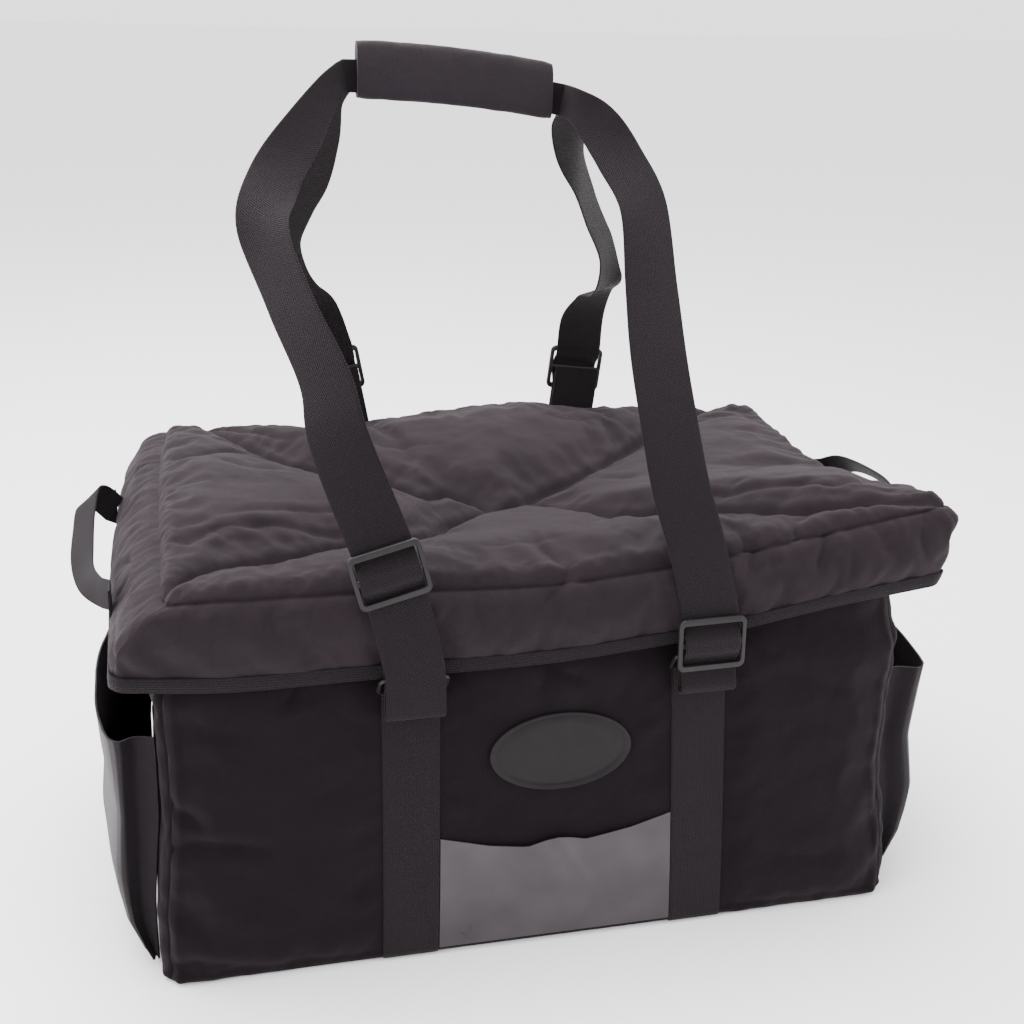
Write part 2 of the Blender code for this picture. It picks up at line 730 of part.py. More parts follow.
def build_ring(end, finish):
    """Rectangular wire ring, its lower bar in the sewn webbing and its upper bar in the strap."""
    webbing, side, _buckle_z, _lean = STRAP_ENDS[end]
    ring_x = webbing_x(webbing, side, RING_HEIGHT)
    lower = Vector((ring_x, side * ring_bar_distance(side), RING_HEIGHT))
    upper = Vector((lower.x, side * RING_TOP_DISTANCE, RING_HEIGHT + RING_RISE))
    middle = (lower + upper) / 2
    rise = (upper - lower) / 2
    up = rise.normalized()
    half_wide = WEBBING_WIDTH / 2 + SIDE_PLAY + RING_WIRE / 2
    half_tall = rise.length
    rings = []
    for sign_x, sign_z, start in ((1, 1, 0), (-1, 1, 90), (-1, -1, 180), (1, -1, 270)):
        for step in range(ROUND_STEPS + 1):
            angle = math.radians(start + 90 * step / ROUND_STEPS)
            direction = Vector((1, 0, 0)) * math.cos(angle) + up * math.sin(angle)
            centre = middle + Vector((sign_x * (half_wide - RING_CORNER), 0, 0))
            centre += up * sign_z * (half_tall - RING_CORNER) + direction * RING_CORNER
            face = Vector((1, 0, 0)).cross(up)
            wire = []
            for turn in range(WIRE_STEPS):
                spin = 2 * math.pi * turn / WIRE_STEPS
                wire.append(centre + (direction * math.cos(spin) + face * math.sin(spin))
                            * RING_WIRE / 2)
            rings.append(wire)
    return add_object("ring_" + end, skin(rings, closed=True), finish)


def rectangle_ring(half_x, half_z, corner, depth):
    """Rounded rectangle in the XZ plane at a depth."""
    points = []
    for sign_x, sign_z, start in ((1, 1, 0), (-1, 1, 90), (-1, -1, 180), (1, -1, 270)):
        for step in range(ROUND_STEPS + 1):
            angle = math.radians(start + 90 * step / ROUND_STEPS)
            points.append(Vector((sign_x * (half_x - corner) + corner * math.cos(angle), depth,
                                  sign_z * (half_z - corner) + corner * math.sin(angle))))
    return points


def build_buckle(end, finish):
    """Three-bar slider: a rounded frame with a bar across its middle."""
    _webbing, side, buckle_z, _lean = STRAP_ENDS[end]
    window_x = WEBBING_WIDTH / 2 + SIDE_PLAY
    window_z = BUCKLE_HEIGHT / 2 - BUCKLE_BAR
    half = BUCKLE_THICKNESS / 2
    edge = BUCKLE_EDGE
    outer_x = window_x + BUCKLE_SIDE
    outer_z = BUCKLE_HEIGHT / 2
    rings = [
        rectangle_ring(outer_x - edge, outer_z - edge, BUCKLE_CORNER - edge, -half),
        rectangle_ring(outer_x, outer_z, BUCKLE_CORNER, -half + edge),
        rectangle_ring(outer_x, outer_z, BUCKLE_CORNER, half - edge),
        rectangle_ring(outer_x - edge, outer_z - edge, BUCKLE_CORNER - edge, half),
        rectangle_ring(window_x, window_z, BUCKLE_WINDOW_CORNER, half),
        rectangle_ring(window_x, window_z, BUCKLE_WINDOW_CORNER, -half),
    ]
    buckle = add_object("tri_glide_" + end, skin(rings, closed=True), finish)
    bar_x = window_x + BUCKLE_SIDE / 2
    bar_z = BUCKLE_CENTRE_BAR / 2
    bar_y = half - edge / 2
    bar_rings = []
    for x in (-bar_x, bar_x):
        bar_rings.append([Vector((x, -bar_y, -bar_z)), Vector((x, bar_y, -bar_z)),
                          Vector((x, bar_y, bar_z)), Vector((x, -bar_y, bar_z))])
    bar = add_object("centre_bar_" + end, skin(bar_rings), finish)
    bar.hide_render = True
    bar.display_type = "WIRE"
    union = buckle.modifiers.new("centre_bar", "BOOLEAN")
    union.operation = "UNION"
    union.object = bar
    lean = strap_lean(end, buckle_z)
    place_at = Vector((strap_x(end, buckle_z), side * BUCKLE_DISTANCE, buckle_z))
    for part in (buckle, bar):
        part.location = place_at
        part.rotation_euler = (0, math.atan(lean), 0)
    return buckle


# Side handles
END_STATIONS = sorted({point.y for point in OUTLINE if abs(point.x) > 0.9999})


def skirt_end(side, y, level):
    """Distance of the skirt's flat facets at a place and level on one end."""
    column = 1 if side < 0 else 2
    fall = SKIRT_DROP * lookup(LID_EDGE, side, 3)
    low = max(station for station in END_STATIONS if station <= y)
    high = min(station for station in END_STATIONS if station > y)
    distances = []
    for station in (low, high):
        point = Vector((side, station))
        drop = min(1.0, max(0.0, (edge_height(point) - level) / fall))
        end = HALF_LENGTH * lookup(LID_ENDS, station, column)
        distances.append(end * lookup(SKIRT_SECTIONS, drop, column))
    return distances[0] + (distances[1] - distances[0]) * (y - low) / (high - low)


def skirt_distance(side, along):
    """Distance of the skirt's outermost part behind one tab of a side handle."""
    first = (SIDE_HANDLE_Y + along - SIDE_HANDLE_TAB) / HALF_DEPTH
    last = (SIDE_HANDLE_Y + along + SIDE_HANDLE_TAB) / HALF_DEPTH
    places = [first, last] + [station for station in END_STATIONS if first < station < last]
    levels = [SIDE_HANDLE_Z + SIDE_WEBBING_WIDTH * (step / RUN_STEPS - 0.5)
              for step in range(RUN_STEPS + 1)]
    return max(skirt_end(side, y, level) for y in places for level in levels)


def build_side_handle(name, side, finish):
    """Narrow webbing loop sewn at both ends to the lid's skirt."""
    half = SIDE_HANDLE_LENGTH / 2
    front_tab = skirt_distance(side, -half)
    back_tab = skirt_distance(side, half)
    upright = Vector((0, 0, 1))
    tilted = Vector((-side * SIDE_HANDLE_TILT[0], 0, SIDE_HANDLE_TILT[1]))

    def frame(along, out, up, tilt):
        blend = min(1.0, max(0.0, (along + half) / (2 * half)))
        distance = front_tab + (back_tab - front_tab) * blend + GAP + WEBBING_THICKNESS / 2 + out
        return (Vector((side * distance, SIDE_HANDLE_Y + along, SIDE_HANDLE_Z + up)),
                (upright * (1 - tilt) + tilted * tilt).normalized(), SIDE_WEBBING_WIDTH)

    loop = [frame(along * half, out * SIDE_HANDLE_REACH, up * SIDE_HANDLE_RISE, tilt)
            for along, out, up, tilt in SIDE_HANDLE_RUNS[name]]
    tabs = [frame(along, 0.0, 0.0, 0.0)
            for along in (-half - SIDE_HANDLE_TAB, half + SIDE_HANDLE_TAB)]
    frames = tabs[:1] + smooth_frames(loop) + tabs[1:]
    return add_object("side_handle_" + name, ribbon(frames, WEBBING_THICKNESS), finish)


# Pockets
def build_side_pocket(name, side, finish):
    """Gusseted cloth pouch, open at its top, on one end of the body."""
    column = 0 if side < 0 else 1
    full_depth = LEFT_POCKET_DEPTH if side < 0 else RIGHT_POCKET_DEPTH

    def plan_point(index, height_share, inset):
        along, out = POCKET_PLAN[index]
        before = POCKET_PLAN[max(index - 1, 0)]
        after = POCKET_PLAN[min(index + 1, len(POCKET_PLAN) - 1)]
        depth = full_depth * lookup(POCKET_LEVELS, height_share, 1)
        half = POCKET_WIDTH / 2
        tangent = Vector(((after[1] - before[1]) * depth, (after[0] - before[0]) * half)).normalized()
        normal = Vector((-tangent.y, tangent.x))
        height = POCKET_LIFT + (POCKET_HEIGHT - POCKET_LIFT) * height_share
        stand_off = max(0.0, out * depth + normal.x * inset)
        if inset == 0:
            stand_off += GAP
        distance = body_sides(height)[column] + GAP + stand_off
        return Vector((side * distance, along * half + normal.y * inset, height))

    levels = [row[0] for row in POCKET_LEVELS]
    for row in BODY_SECTIONS:
        share = (row[0] * BODY_HEIGHT - POCKET_LIFT) / (POCKET_HEIGHT - POCKET_LIFT)
        if 0 < share < 1:
            levels.append(share)
    levels.sort()
    columns = range(len(POCKET_PLAN))
    outer = [[plan_point(index, level, 0.0) for index in columns] for level in levels]
    inner = [[plan_point(index, level, CLOTH) for index in columns] for level in levels]
    return add_object("side_pocket_" + name, shell(outer, inner), finish)


def build_window_pocket(finish):
    """Clear pocket sewn between the front webbings."""
    columns = WINDOW_COLUMNS
    lowest_edge = WINDOW_HEIGHT * min(row[1] for row in WINDOW_EDGE)
    levels = [BASE_ROUND]
    levels += [row[0] * BODY_HEIGHT for row in BODY_SECTIONS
               if BASE_ROUND < row[0] * BODY_HEIGHT < lowest_edge]

    def row_of_points(across_heights, extra):
        line = []
        for step, height in enumerate(across_heights):
            across = step / columns
            left = webbing_x("left", -1, height) + WEBBING_WIDTH / 2 + 2 * GAP
            right = webbing_x("right", -1, height) - WEBBING_WIDTH / 2 - 2 * GAP
            rise = math.sin(math.pi / 2 * min(1.0, height / WINDOW_HEIGHT))
            slack = WINDOW_SLACK * math.sin(math.pi * across) * rise
            wall = body_sides(height)[2]
            line.append(Vector((left + (right - left) * across,
                                -(wall + GAP + slack + extra), height)))
        return line

    def grid(extra):
        points = [row_of_points([level] * (columns + 1), extra) for level in levels]
        tops = [WINDOW_HEIGHT * lookup(WINDOW_EDGE, step / columns, 1)
                for step in range(columns + 1)]
        for row in range(1, WINDOW_TOP_ROWS + 1):
            heights = [levels[-1] + (top - levels[-1]) * row / WINDOW_TOP_ROWS for top in tops]
            points.append(row_of_points(heights, extra))
        return points

    return add_object("window_pocket", shell(grid(WINDOW_THICKNESS), grid(0.0)), finish)


def build_patch(finish):
    """Blank oval rubber patch with a raised rim."""
    def ring(share, rise):
        points = []
        for step in range(PATCH_STEPS):
            angle = 2 * math.pi * step / PATCH_STEPS
            x = PATCH_X + PATCH_LENGTH / 2 * share * math.cos(angle)
            z = PATCH_Z + PATCH_WIDTH / 2 * share * math.sin(angle)
            points.append(Vector((x, -(body_sides(z)[2] + GAP + rise), z)))
        return points

    rim_inside, field_edge, field_middle = PATCH_SHARES
    rim = PATCH_THICKNESS + PATCH_RIM
    rings = [ring(1.0, 0.0), ring(1.0, rim), ring(rim_inside, rim),
             ring(field_edge, PATCH_THICKNESS), ring(field_middle, PATCH_THICKNESS)]
    return add_object("patch", skin(rings), finish)


def build_bag():
    """Every piece of the bag."""
    nylon = (0.030, 0.022, 0.026)
    webbing_color = (0.024, 0.020, 0.022)
    body = build_body(material("body_nylon", nylon, 0.75))
    for webbing in ("left", "right"):
        build_webbing(webbing, material("sewn_webbing_" + webbing, webbing_color, 0.7), body)
    build_lid(material("lid_nylon", nylon, 0.75))
    build_binding(material("binding_tape", webbing_color, 0.7))
    build_strap("front", -1, material("front_strap_webbing", webbing_color, 0.7))
    build_strap("back", 1, material("back_strap_webbing", webbing_color, 0.7))
    build_wrap(material("wrap_nylon", nylon, 0.75))
    for end in STRAP_ENDS:
        build_ring(end, material("ring_plastic_" + end, (0.028, 0.026, 0.028), 0.4))
        build_buckle(end, material("buckle_plastic_" + end, (0.040, 0.036, 0.040), 0.45))
    for name, side in (("left", -1), ("right", 1)):
        build_side_handle(name, side, material("side_webbing_" + name, webbing_color, 0.7))
        build_side_pocket(name, side, material("pocket_nylon_" + name, nylon, 0.75))
    build_window_pocket(material("clear_vinyl", (0.110, 0.090, 0.100), 0.2))
    build_patch(material("patch_rubber", (0.016, 0.015, 0.016), 0.5))


build_bag()
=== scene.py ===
import math

import bmesh
import bpy
import numpy
from mathutils import Matrix, Vector, noise
from mathutils.bvhtree import BVHTree


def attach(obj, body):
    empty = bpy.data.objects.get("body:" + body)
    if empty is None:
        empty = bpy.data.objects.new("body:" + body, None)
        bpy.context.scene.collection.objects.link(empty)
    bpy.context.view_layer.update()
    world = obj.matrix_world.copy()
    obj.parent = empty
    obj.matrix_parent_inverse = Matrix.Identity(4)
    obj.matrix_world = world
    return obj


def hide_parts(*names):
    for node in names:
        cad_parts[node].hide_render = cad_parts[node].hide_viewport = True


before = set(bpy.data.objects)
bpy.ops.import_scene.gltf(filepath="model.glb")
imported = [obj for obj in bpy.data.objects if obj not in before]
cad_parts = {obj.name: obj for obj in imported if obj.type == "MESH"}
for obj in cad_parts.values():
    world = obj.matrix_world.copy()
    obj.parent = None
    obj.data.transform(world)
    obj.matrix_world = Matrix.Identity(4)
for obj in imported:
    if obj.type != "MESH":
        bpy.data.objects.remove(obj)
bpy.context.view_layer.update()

# Camera, floor and light
# A long lens looks down a little on the front left of the bag, which stands on a plain pale floor
# under wide soft lamps.
FOCAL_PIXELS = 1450.0
PICTURE_PIXELS = 1024.0
SENSOR = 36.0
CAMERA_PLACE = Vector((-0.2984, -1.1944, 0.7463))
YAW = math.radians(14.39)
PITCH = math.radians(19.35)
ROLL = math.radians(1.38)

level_ahead = Vector((math.sin(YAW), math.cos(YAW), 0))
level_right = Vector((math.cos(YAW), -math.sin(YAW), 0))
ahead = level_ahead * math.cos(PITCH) - Vector((0, 0, math.sin(PITCH)))
upward = level_ahead * math.sin(PITCH) + Vector((0, 0, math.cos(PITCH)))
camera_right = level_right * math.cos(ROLL) + upward * math.sin(ROLL)
camera_up = upward * math.cos(ROLL) - level_right * math.sin(ROLL)
camera_turn = Matrix((camera_right, camera_up, -ahead)).transposed().to_4x4()
camera_turn.translation = CAMERA_PLACE
camera_data = bpy.data.cameras.new("camera")
camera_data.sensor_width = SENSOR
camera_data.lens = SENSOR * FOCAL_PIXELS / PICTURE_PIXELS
camera = bpy.data.objects.new("camera", camera_data)
camera.matrix_world = camera_turn
bpy.context.scene.collection.objects.link(camera)
bpy.context.scene.camera = camera


def plain_finish(name, color, roughness):
    """Material of one Principled shader."""
    finish = bpy.data.materials.new(name)
    finish.use_nodes = True
    shader = finish.node_tree.nodes["Principled BSDF"]
    shader.inputs["Base Color"].default_value = (*color, 1.0)
    shader.inputs["Roughness"].default_value = roughness
    return finish


def soft_lamp(name, place, target, width, watts):
    """Square area lamp that looks at a point."""
    lamp_data = bpy.data.lights.new(name, "AREA")
    lamp_data.shape = "SQUARE"
    lamp_data.size = width
    lamp_data.energy = watts
    lamp = bpy.data.objects.new(name, lamp_data)
    lamp.location = place
    lamp.rotation_euler = (Vector(target) - Vector(place)).to_track_quat("-Z", "Y").to_euler()
    bpy.context.scene.collection.objects.link(lamp)


FLOOR_HALF = 40.0
floor_mesh = bpy.data.meshes.new("floor")
floor_mesh.from_pydata([(x * FLOOR_HALF, y * FLOOR_HALF, -0.0005)
                        for x, y in ((-1, -1), (1, -1), (1, 1), (-1, 1))], [], [(0, 1, 2, 3)])
floor_mesh.materials.append(plain_finish("pale_floor", (0.93, 0.93, 0.93), 0.9))
floor = bpy.data.objects.new("floor", floor_mesh)
bpy.context.scene.collection.objects.link(floor)

soft_lamp("top_lamp", (-0.5, 0.5, 2.4), (0.0, 0.0, 0.2), 2.2, 150.0)
soft_lamp("left_lamp", (-2.2, -1.3, 1.3), (0.0, 0.0, 0.2), 1.6, 55.0)
soft_lamp("right_lamp", (2.2, -1.5, 1.2), (0.0, 0.0, 0.2), 1.6, 28.0)
sky = bpy.data.worlds.new("sky")
sky.use_nodes = True
sky.node_tree.nodes["Background"].inputs["Color"].default_value = (1.0, 1.0, 1.0, 1.0)
sky.node_tree.nodes["Background"].inputs["Strength"].default_value = 2.2
bpy.context.scene.world = sky

# Body
# An open box of black woven nylon over 12 mm foam, its panels sewn edge to edge, so each wall puffs
# out between its seams and creases where the foam has been squeezed.
LENGTH = 0.634
DEPTH = 0.400
SEAM_HEIGHT = 0.335
PADDING = 0.012
BODY_CORNER = 0.020
BASE_ROUND = 0.007
BODY_HEIGHT = 0.3096
HALF_LENGTH = LENGTH / 2
HALF_DEPTH = DEPTH / 2
BODY_SPREAD = (120, 76, 1.25)
BODY_WALL_RINGS = 42
WALL_CRUMPLE_SIZE = 0.035
WALL_CRUMPLE_HEIGHT = 0.0011
HELD_HALF_WINDOW = 0.105
HELD_WINDOW_TOP = 0.118
HELD_PATCH = (0.002, 0.180, 0.062, 0.037)
CORNER_SEAM_DEPTH = 0.0026
CORNER_SEAM_WIDTH = 0.0026
CORNER_ROLL_HEIGHT = 0.0012
CORNER_ROLL_PLACE = 0.008
CORNER_ROLL_WIDTH = 0.004
BASE_SEAM_LIFT = 0.003
BASE_SEAM_DEPTH = 0.0016
BASE_SEAM_WIDTH = 0.0022

BODY_SECTIONS = (
    # height, left, right, front, back
    (0.00, 1.010, 0.985, 0.995, 0.990),
    (0.20, 1.008, 0.968, 1.005, 1.000),
    (0.44, 0.986, 0.930, 1.002, 1.005),
    (0.62, 0.984, 0.938, 0.996, 1.000),
    (0.79, 0.990, 0.945, 0.990, 0.980),
    (0.87, 0.972, 0.932, 0.965, 0.960),
    (1.00, 0.950, 0.915, 0.955, 0.950),
)

# Creases of the body's walls: depth, width, number of faded ends, and a line across the wall
FRONT_CREASES = (
    (0.0050, 0.006, 1, ((-0.204, 0.266), (-0.209, 0.252), (-0.213, 0.245), (-0.206, 0.238))),
    (0.0032, 0.004, 1, ((-0.212, 0.246), (-0.200, 0.249), (-0.188, 0.256))),
    (0.0050, 0.006, 1, ((-0.018, 0.266), (-0.010, 0.254), (-0.013, 0.242), (-0.022, 0.231))),
    (0.0032, 0.004, 1, ((-0.010, 0.253), (0.006, 0.247), (0.026, 0.238))),
    (0.0034, 0.005, 1, ((-0.316, 0.120), (-0.288, 0.130), (-0.261, 0.127), (-0.222, 0.118))),
    (0.0030, 0.005, 1, ((-0.309, 0.165), (-0.290, 0.152), (-0.275, 0.133))),
    (0.0028, 0.005, 1, ((-0.319, 0.014), (-0.293, 0.022), (-0.245, 0.012))),
    (0.0016, 0.010, 2, ((-0.214, 0.157), (-0.184, 0.165), (-0.152, 0.188))),
    (0.0018, 0.009, 2, ((-0.300, 0.236), (-0.262, 0.222), (-0.226, 0.216))),
    (0.0022, 0.009, 2, ((0.164, 0.240), (0.215, 0.223), (0.268, 0.203))),
    (0.0018, 0.008, 2, ((0.170, 0.064), (0.222, 0.054), (0.274, 0.050))),
    (0.0024, 0.007, 2, ((0.296, 0.024), (0.289, 0.080), (0.297, 0.130))),
    (0.0020, 0.006, 1, ((0.158, 0.262), (0.170, 0.250), (0.190, 0.244))),
)
BACK_CREASES = (
    (0.0040, 0.006, 1, ((-0.190, 0.266), (-0.197, 0.250), (-0.190, 0.232))),
    (0.0034, 0.005, 1, ((0.010, 0.266), (0.018, 0.248), (0.012, 0.230))),
    (0.0030, 0.006, 1, ((-0.310, 0.150), (-0.270, 0.140), (-0.220, 0.146))),
    (0.0024, 0.009, 2, ((-0.080, 0.120), (-0.020, 0.135), (0.070, 0.122))),
    (0.0030, 0.006, 1, ((0.292, 0.190), (0.260, 0.174), (0.205, 0.178))),
    (0.0024, 0.008, 2, ((0.160, 0.060), (0.210, 0.074), (0.270, 0.066))),
)
END_CREASES = (
    (0.0034, 0.006, 1, ((-0.185, 0.238), (-0.140, 0.228), (-0.080, 0.232))),
    (0.0030, 0.007, 2, ((-0.060, 0.250), (0.000, 0.240), (0.070, 0.248))),
    (0.0034, 0.006, 1, ((0.185, 0.150), (0.172, 0.176), (0.160, 0.230))),
)


def lookup(table, position, column):
    """Value of a table's column at a position in its first column, blended between rows."""
    for low, high in zip(table, table[1:]):
        if position <= high[0]:
            share = max(0.0, (position - low[0]) / (high[0] - low[0]))
            return low[column] + (high[column] - low[column]) * share
    return table[-1][column]


def ease(share):
    """Share from 0 to 1 with a soft start and end."""
    share = min(1.0, max(0.0, share))
    return share * share * (3 - 2 * share)


def rounded_border(s, t, radius):
    """Point of the rounded unit outline on the way to a point of the unit square's border."""
    corner_x = radius / HALF_LENGTH
    corner_y = radius / HALF_DEPTH
    reach = max(abs(s), abs(t), 1e-9)
    s, t = s / reach, t / reach
    if abs(s) > abs(t) and abs(t) > 1 - corner_y:
        turn = math.radians(45) * (abs(t) - (1 - corner_y)) / corner_y
    elif abs(t) >= abs(s) and abs(s) > 1 - corner_x:
        turn = math.radians(90 - 45 * (abs(s) - (1 - corner_x)) / corner_x)
    else:
        return Vector((s, t))
    return Vector((math.copysign(1 - corner_x + corner_x * math.cos(turn), s),
                   math.copysign(1 - corner_y + corner_y * math.sin(turn), t)))


def place(point, sides, height):
    """Point of the unit outline moved to the given sides (left, right, front, back)."""
    left, right, front, back = sides
    return Vector((point.x * (right if point.x > 0 else left),
                   point.y * (back if point.y > 0 else front), height))


def line_distance(spots, line):
    """Distances of flat points from a line of points, and the shares of its length there."""
    best = numpy.full(len(spots), 9.0)
    shares = numpy.zeros(len(spots))
    total = sum(math.dist(start, end) for start, end in zip(line, line[1:]))
    passed = 0.0
    for start, end in zip(line, line[1:]):
        run = numpy.subtract(end, start)
        length = numpy.linalg.norm(run)
        along = numpy.clip((spots - start) @ run / length ** 2, 0, 1)
        away = numpy.linalg.norm(spots - start - along[:, None] * run, axis=1)
        near = away < best
        best[near] = away[near]
        shares[near] = ((passed + along * length) / total)[near]
        passed += length
    return best, shares


def crease_depth(spots, table):
    """Depth that folds cut into a padded wall at flat points, less the rolls they push up beside them."""
    cut = numpy.zeros(len(spots))
    roll = numpy.zeros(len(spots))
    for depth, width, faded, line in table:
        away, share = line_distance(spots, line)
        held = numpy.ones(len(spots))
        if faded:
            held = numpy.clip((1 - share) / 0.35, 0, 1)
        if faded == 2:
            held = held * numpy.clip(share / 0.35, 0, 1)
        cut = numpy.maximum(cut, depth * held * numpy.exp(-away / width))
        roll = numpy.maximum(roll, 0.3 * depth * held * numpy.exp(-((away / width - 2.4) / 1.3) ** 2))
    return cut - roll


def crumple(spots, size, height):
    """Soft random hollows of a cloth surface, at a size and height in metres."""
    return numpy.array([noise.fractal(Vector(spot) / size, 1.0, 2.0, 3) for spot in spots]) * height


def point_array(mesh):
    """Points and normals of a mesh as arrays."""
    spots = numpy.empty(len(mesh.vertices) * 3)
    mesh.vertices.foreach_get("co", spots)
    normals = numpy.empty(len(mesh.vertices) * 3)
    mesh.vertex_normals.foreach_get("vector", normals)
    return spots.reshape(-1, 3), normals.reshape(-1, 3)


def press_in(mesh, depth):
    """Move a mesh's points inwards along their normals."""
    spots, normals = point_array(mesh)
    mesh.vertices.foreach_set("co", (spots - normals * depth[:, None]).ravel())
    mesh.update()


def spread(count, bias):
    """Steps from -1 to 1 that lie closer together towards both ends."""
    steps = [-1 + 2 * index / count for index in range(count + 1)]
    return [math.copysign(1 - (1 - abs(step)) ** bias, step) for step in steps]


def border_steps(spacing):
    """Steps once round the border of the unit square, from its front left corner."""
    columns, rows, bias = spacing
    across = spread(columns, bias)
    deep = spread(rows, bias)
    steps = [(s, -1.0) for s in across[:-1]] + [(1.0, t) for t in deep[:-1]]
    return steps + [(s, 1.0) for s in across[:0:-1]] + [(-1.0, t) for t in deep[:0:-1]]


def make_piece(name, points, faces, finish, corners=None, sharp=None):
    """Piece of one mesh with outward faces, and a UV map where the faces' corners have places."""
    mesh = bpy.data.meshes.new(name)
    mesh.from_pydata(points, [], faces)
    if corners:
        layer = mesh.uv_layers.new(name="cloth")
        for item, corner in zip(layer.data, corners):
            item.uv = corner
    builder = bmesh.new()
    builder.from_mesh(mesh)
    bmesh.ops.recalc_face_normals(builder, faces=builder.faces)
    builder.to_mesh(mesh)
    builder.free()
    mesh.shade_smooth()
    if sharp:
        mesh.set_sharp_from_angle(angle=math.radians(sharp))
    mesh.materials.append(finish)
    piece = bpy.data.objects.new(name, mesh)
    bpy.context.scene.collection.objects.link(piece)
    return piece


def pan_mesh(name, spacing, radius, rings, finish, panel=None):
    """Padded pan from rings of wall points, its first ring filled by a panel or left open for now."""
    columns, rows, bias = spacing
    border = border_steps(spacing)
    count = len(border)
    points = []
    belts = []
    faces = []
    if panel:
        steps = [(s, t) for t in spread(rows, bias) for s in spread(columns, bias)]
        points += [panel(s, t) for s, t in steps]

        def cell(column, row):
            return row * (columns + 1) + column

        belts.append([cell(column, 0) for column in range(columns)]
                     + [cell(columns, row) for row in range(rows)]
                     + [cell(column, rows) for column in range(columns, 0, -1)]
                     + [cell(0, row) for row in range(rows, 0, -1)])
        faces += [[cell(column, row), cell(column + 1, row), cell(column + 1, row + 1), cell(column, row + 1)]
                  for row in range(rows) for column in range(columns)]
    outline = [rounded_border(s, t, radius) for s, t in border]
    for ring in rings:
        belts.append(list(range(len(points), len(points) + count)))
        points += [ring(spot) for spot in outline]
    for low, high in zip(belts, belts[1:]):
        for index in range(count):
            following = (index + 1) % count
            faces.append([low[index], low[following], high[following], high[index]])
    return make_piece(name, points, faces, finish)


def settle_cloth(piece, pins, pressure, slack, steps, cap):
    """Let the padded cloth swell and crumple between its seams, and keep the result."""
    mesh = piece.data
    before = [vertex.co.copy() for vertex in mesh.vertices]
    seams = piece.vertex_groups.new(name="seams")
    for index, weight in enumerate(pins):
        if weight > 0:
            seams.add([index], weight, "REPLACE")
    cloth = piece.modifiers.new("swell", "CLOTH")
    settings = cloth.settings
    settings.quality = 5
    settings.mass = 0.25
    settings.tension_stiffness = 12
    settings.compression_stiffness = 12
    settings.shear_stiffness = 6
    settings.bending_stiffness = 0.6
    settings.vertex_group_mass = "seams"
    settings.pin_stiffness = 1.0
    settings.use_pressure = True
    settings.uniform_pressure_force = pressure
    settings.shrink_min = -slack
    settings.shrink_max = -slack
    settings.effector_weights.gravity = 0
    cloth.collision_settings.use_collision = False
    cloth.point_cache.frame_start = 1
    cloth.point_cache.frame_end = steps
    scene = bpy.context.scene
    for step in range(1, steps + 1):
        scene.frame_set(step)
    settled = piece.evaluated_get(bpy.context.evaluated_depsgraph_get()).to_mesh()
    after = [vertex.co.copy() for vertex in settled.vertices]
    piece.modifiers.remove(cloth)
    scene.frame_set(1)
    for vertex, old, new in zip(mesh.vertices, before, after):
        move = new - old
        if move.length > cap:
            move *= cap / move.length
        vertex.co = old + move
    piece.vertex_groups.remove(seams)
    mesh.update()


def math_node(tree, operation, *values):
    """Math node on links or numbers, and its output."""
    node = tree.nodes.new("ShaderNodeMath")
    node.operation = operation
    for socket, value in zip(node.inputs, values):
        if isinstance(value, (int, float)):
            socket.default_value = value
        else:
            tree.links.new(value, socket)
    return node.outputs[0]


def new_finish(name):
    """Material, its node tree, its shader and its texture coordinates."""
    finish = bpy.data.materials.new(name)
    finish.use_nodes = True
    tree = finish.node_tree
    return finish, tree, tree.nodes["Principled BSDF"], tree.nodes.new("ShaderNodeTexCoord")


def noise_factor(tree, coordinates, scale, detail, distortion=0.0):
    """Factor of a noise over the piece's own coordinates."""
    node = tree.nodes.new("ShaderNodeTexNoise")
    node.inputs["Scale"].default_value = scale
    node.inputs["Detail"].default_value = detail
    node.inputs["Distortion"].default_value = distortion
    tree.links.new(coordinates.outputs["Object"], node.inputs["Vector"])
    return node.outputs["Fac"]


def blend_colors(tree, shader, factor, low, dark, high, light):
    """Base colour that runs from dark to light between two values of a factor."""
    colors = tree.nodes.new("ShaderNodeValToRGB")
    for element, position, color in zip(colors.color_ramp.elements, (low, high), (dark, light)):
        element.position = position
        element.color = (*color, 1.0)
    tree.links.new(factor, colors.inputs["Fac"])
    tree.links.new(colors.outputs["Color"], shader.inputs["Base Color"])


def bump_normal(tree, height, strength, distance, under=None):
    """Normal of a bump, laid over another normal where one is given."""
    relief = tree.nodes.new("ShaderNodeBump")
    relief.inputs["Strength"].default_value = strength
    relief.inputs["Distance"].default_value = distance
    tree.links.new(height, relief.inputs["Height"])
    if under:
        tree.links.new(under, relief.inputs["Normal"])
    return relief.outputs["Normal"]


def set_gloss(shader, gloss, sheen, sheen_tint, gloss_tint):
    """Constant gloss and sheen of a cloth."""
    shader.inputs["Sheen Weight"].default_value = gloss * sheen
    shader.inputs["Sheen Tint"].default_value = (*sheen_tint, 1.0)
    shader.inputs["Specular IOR Level"].default_value = gloss
    shader.inputs["Specular Tint"].default_value = (*gloss_tint, 1.0)


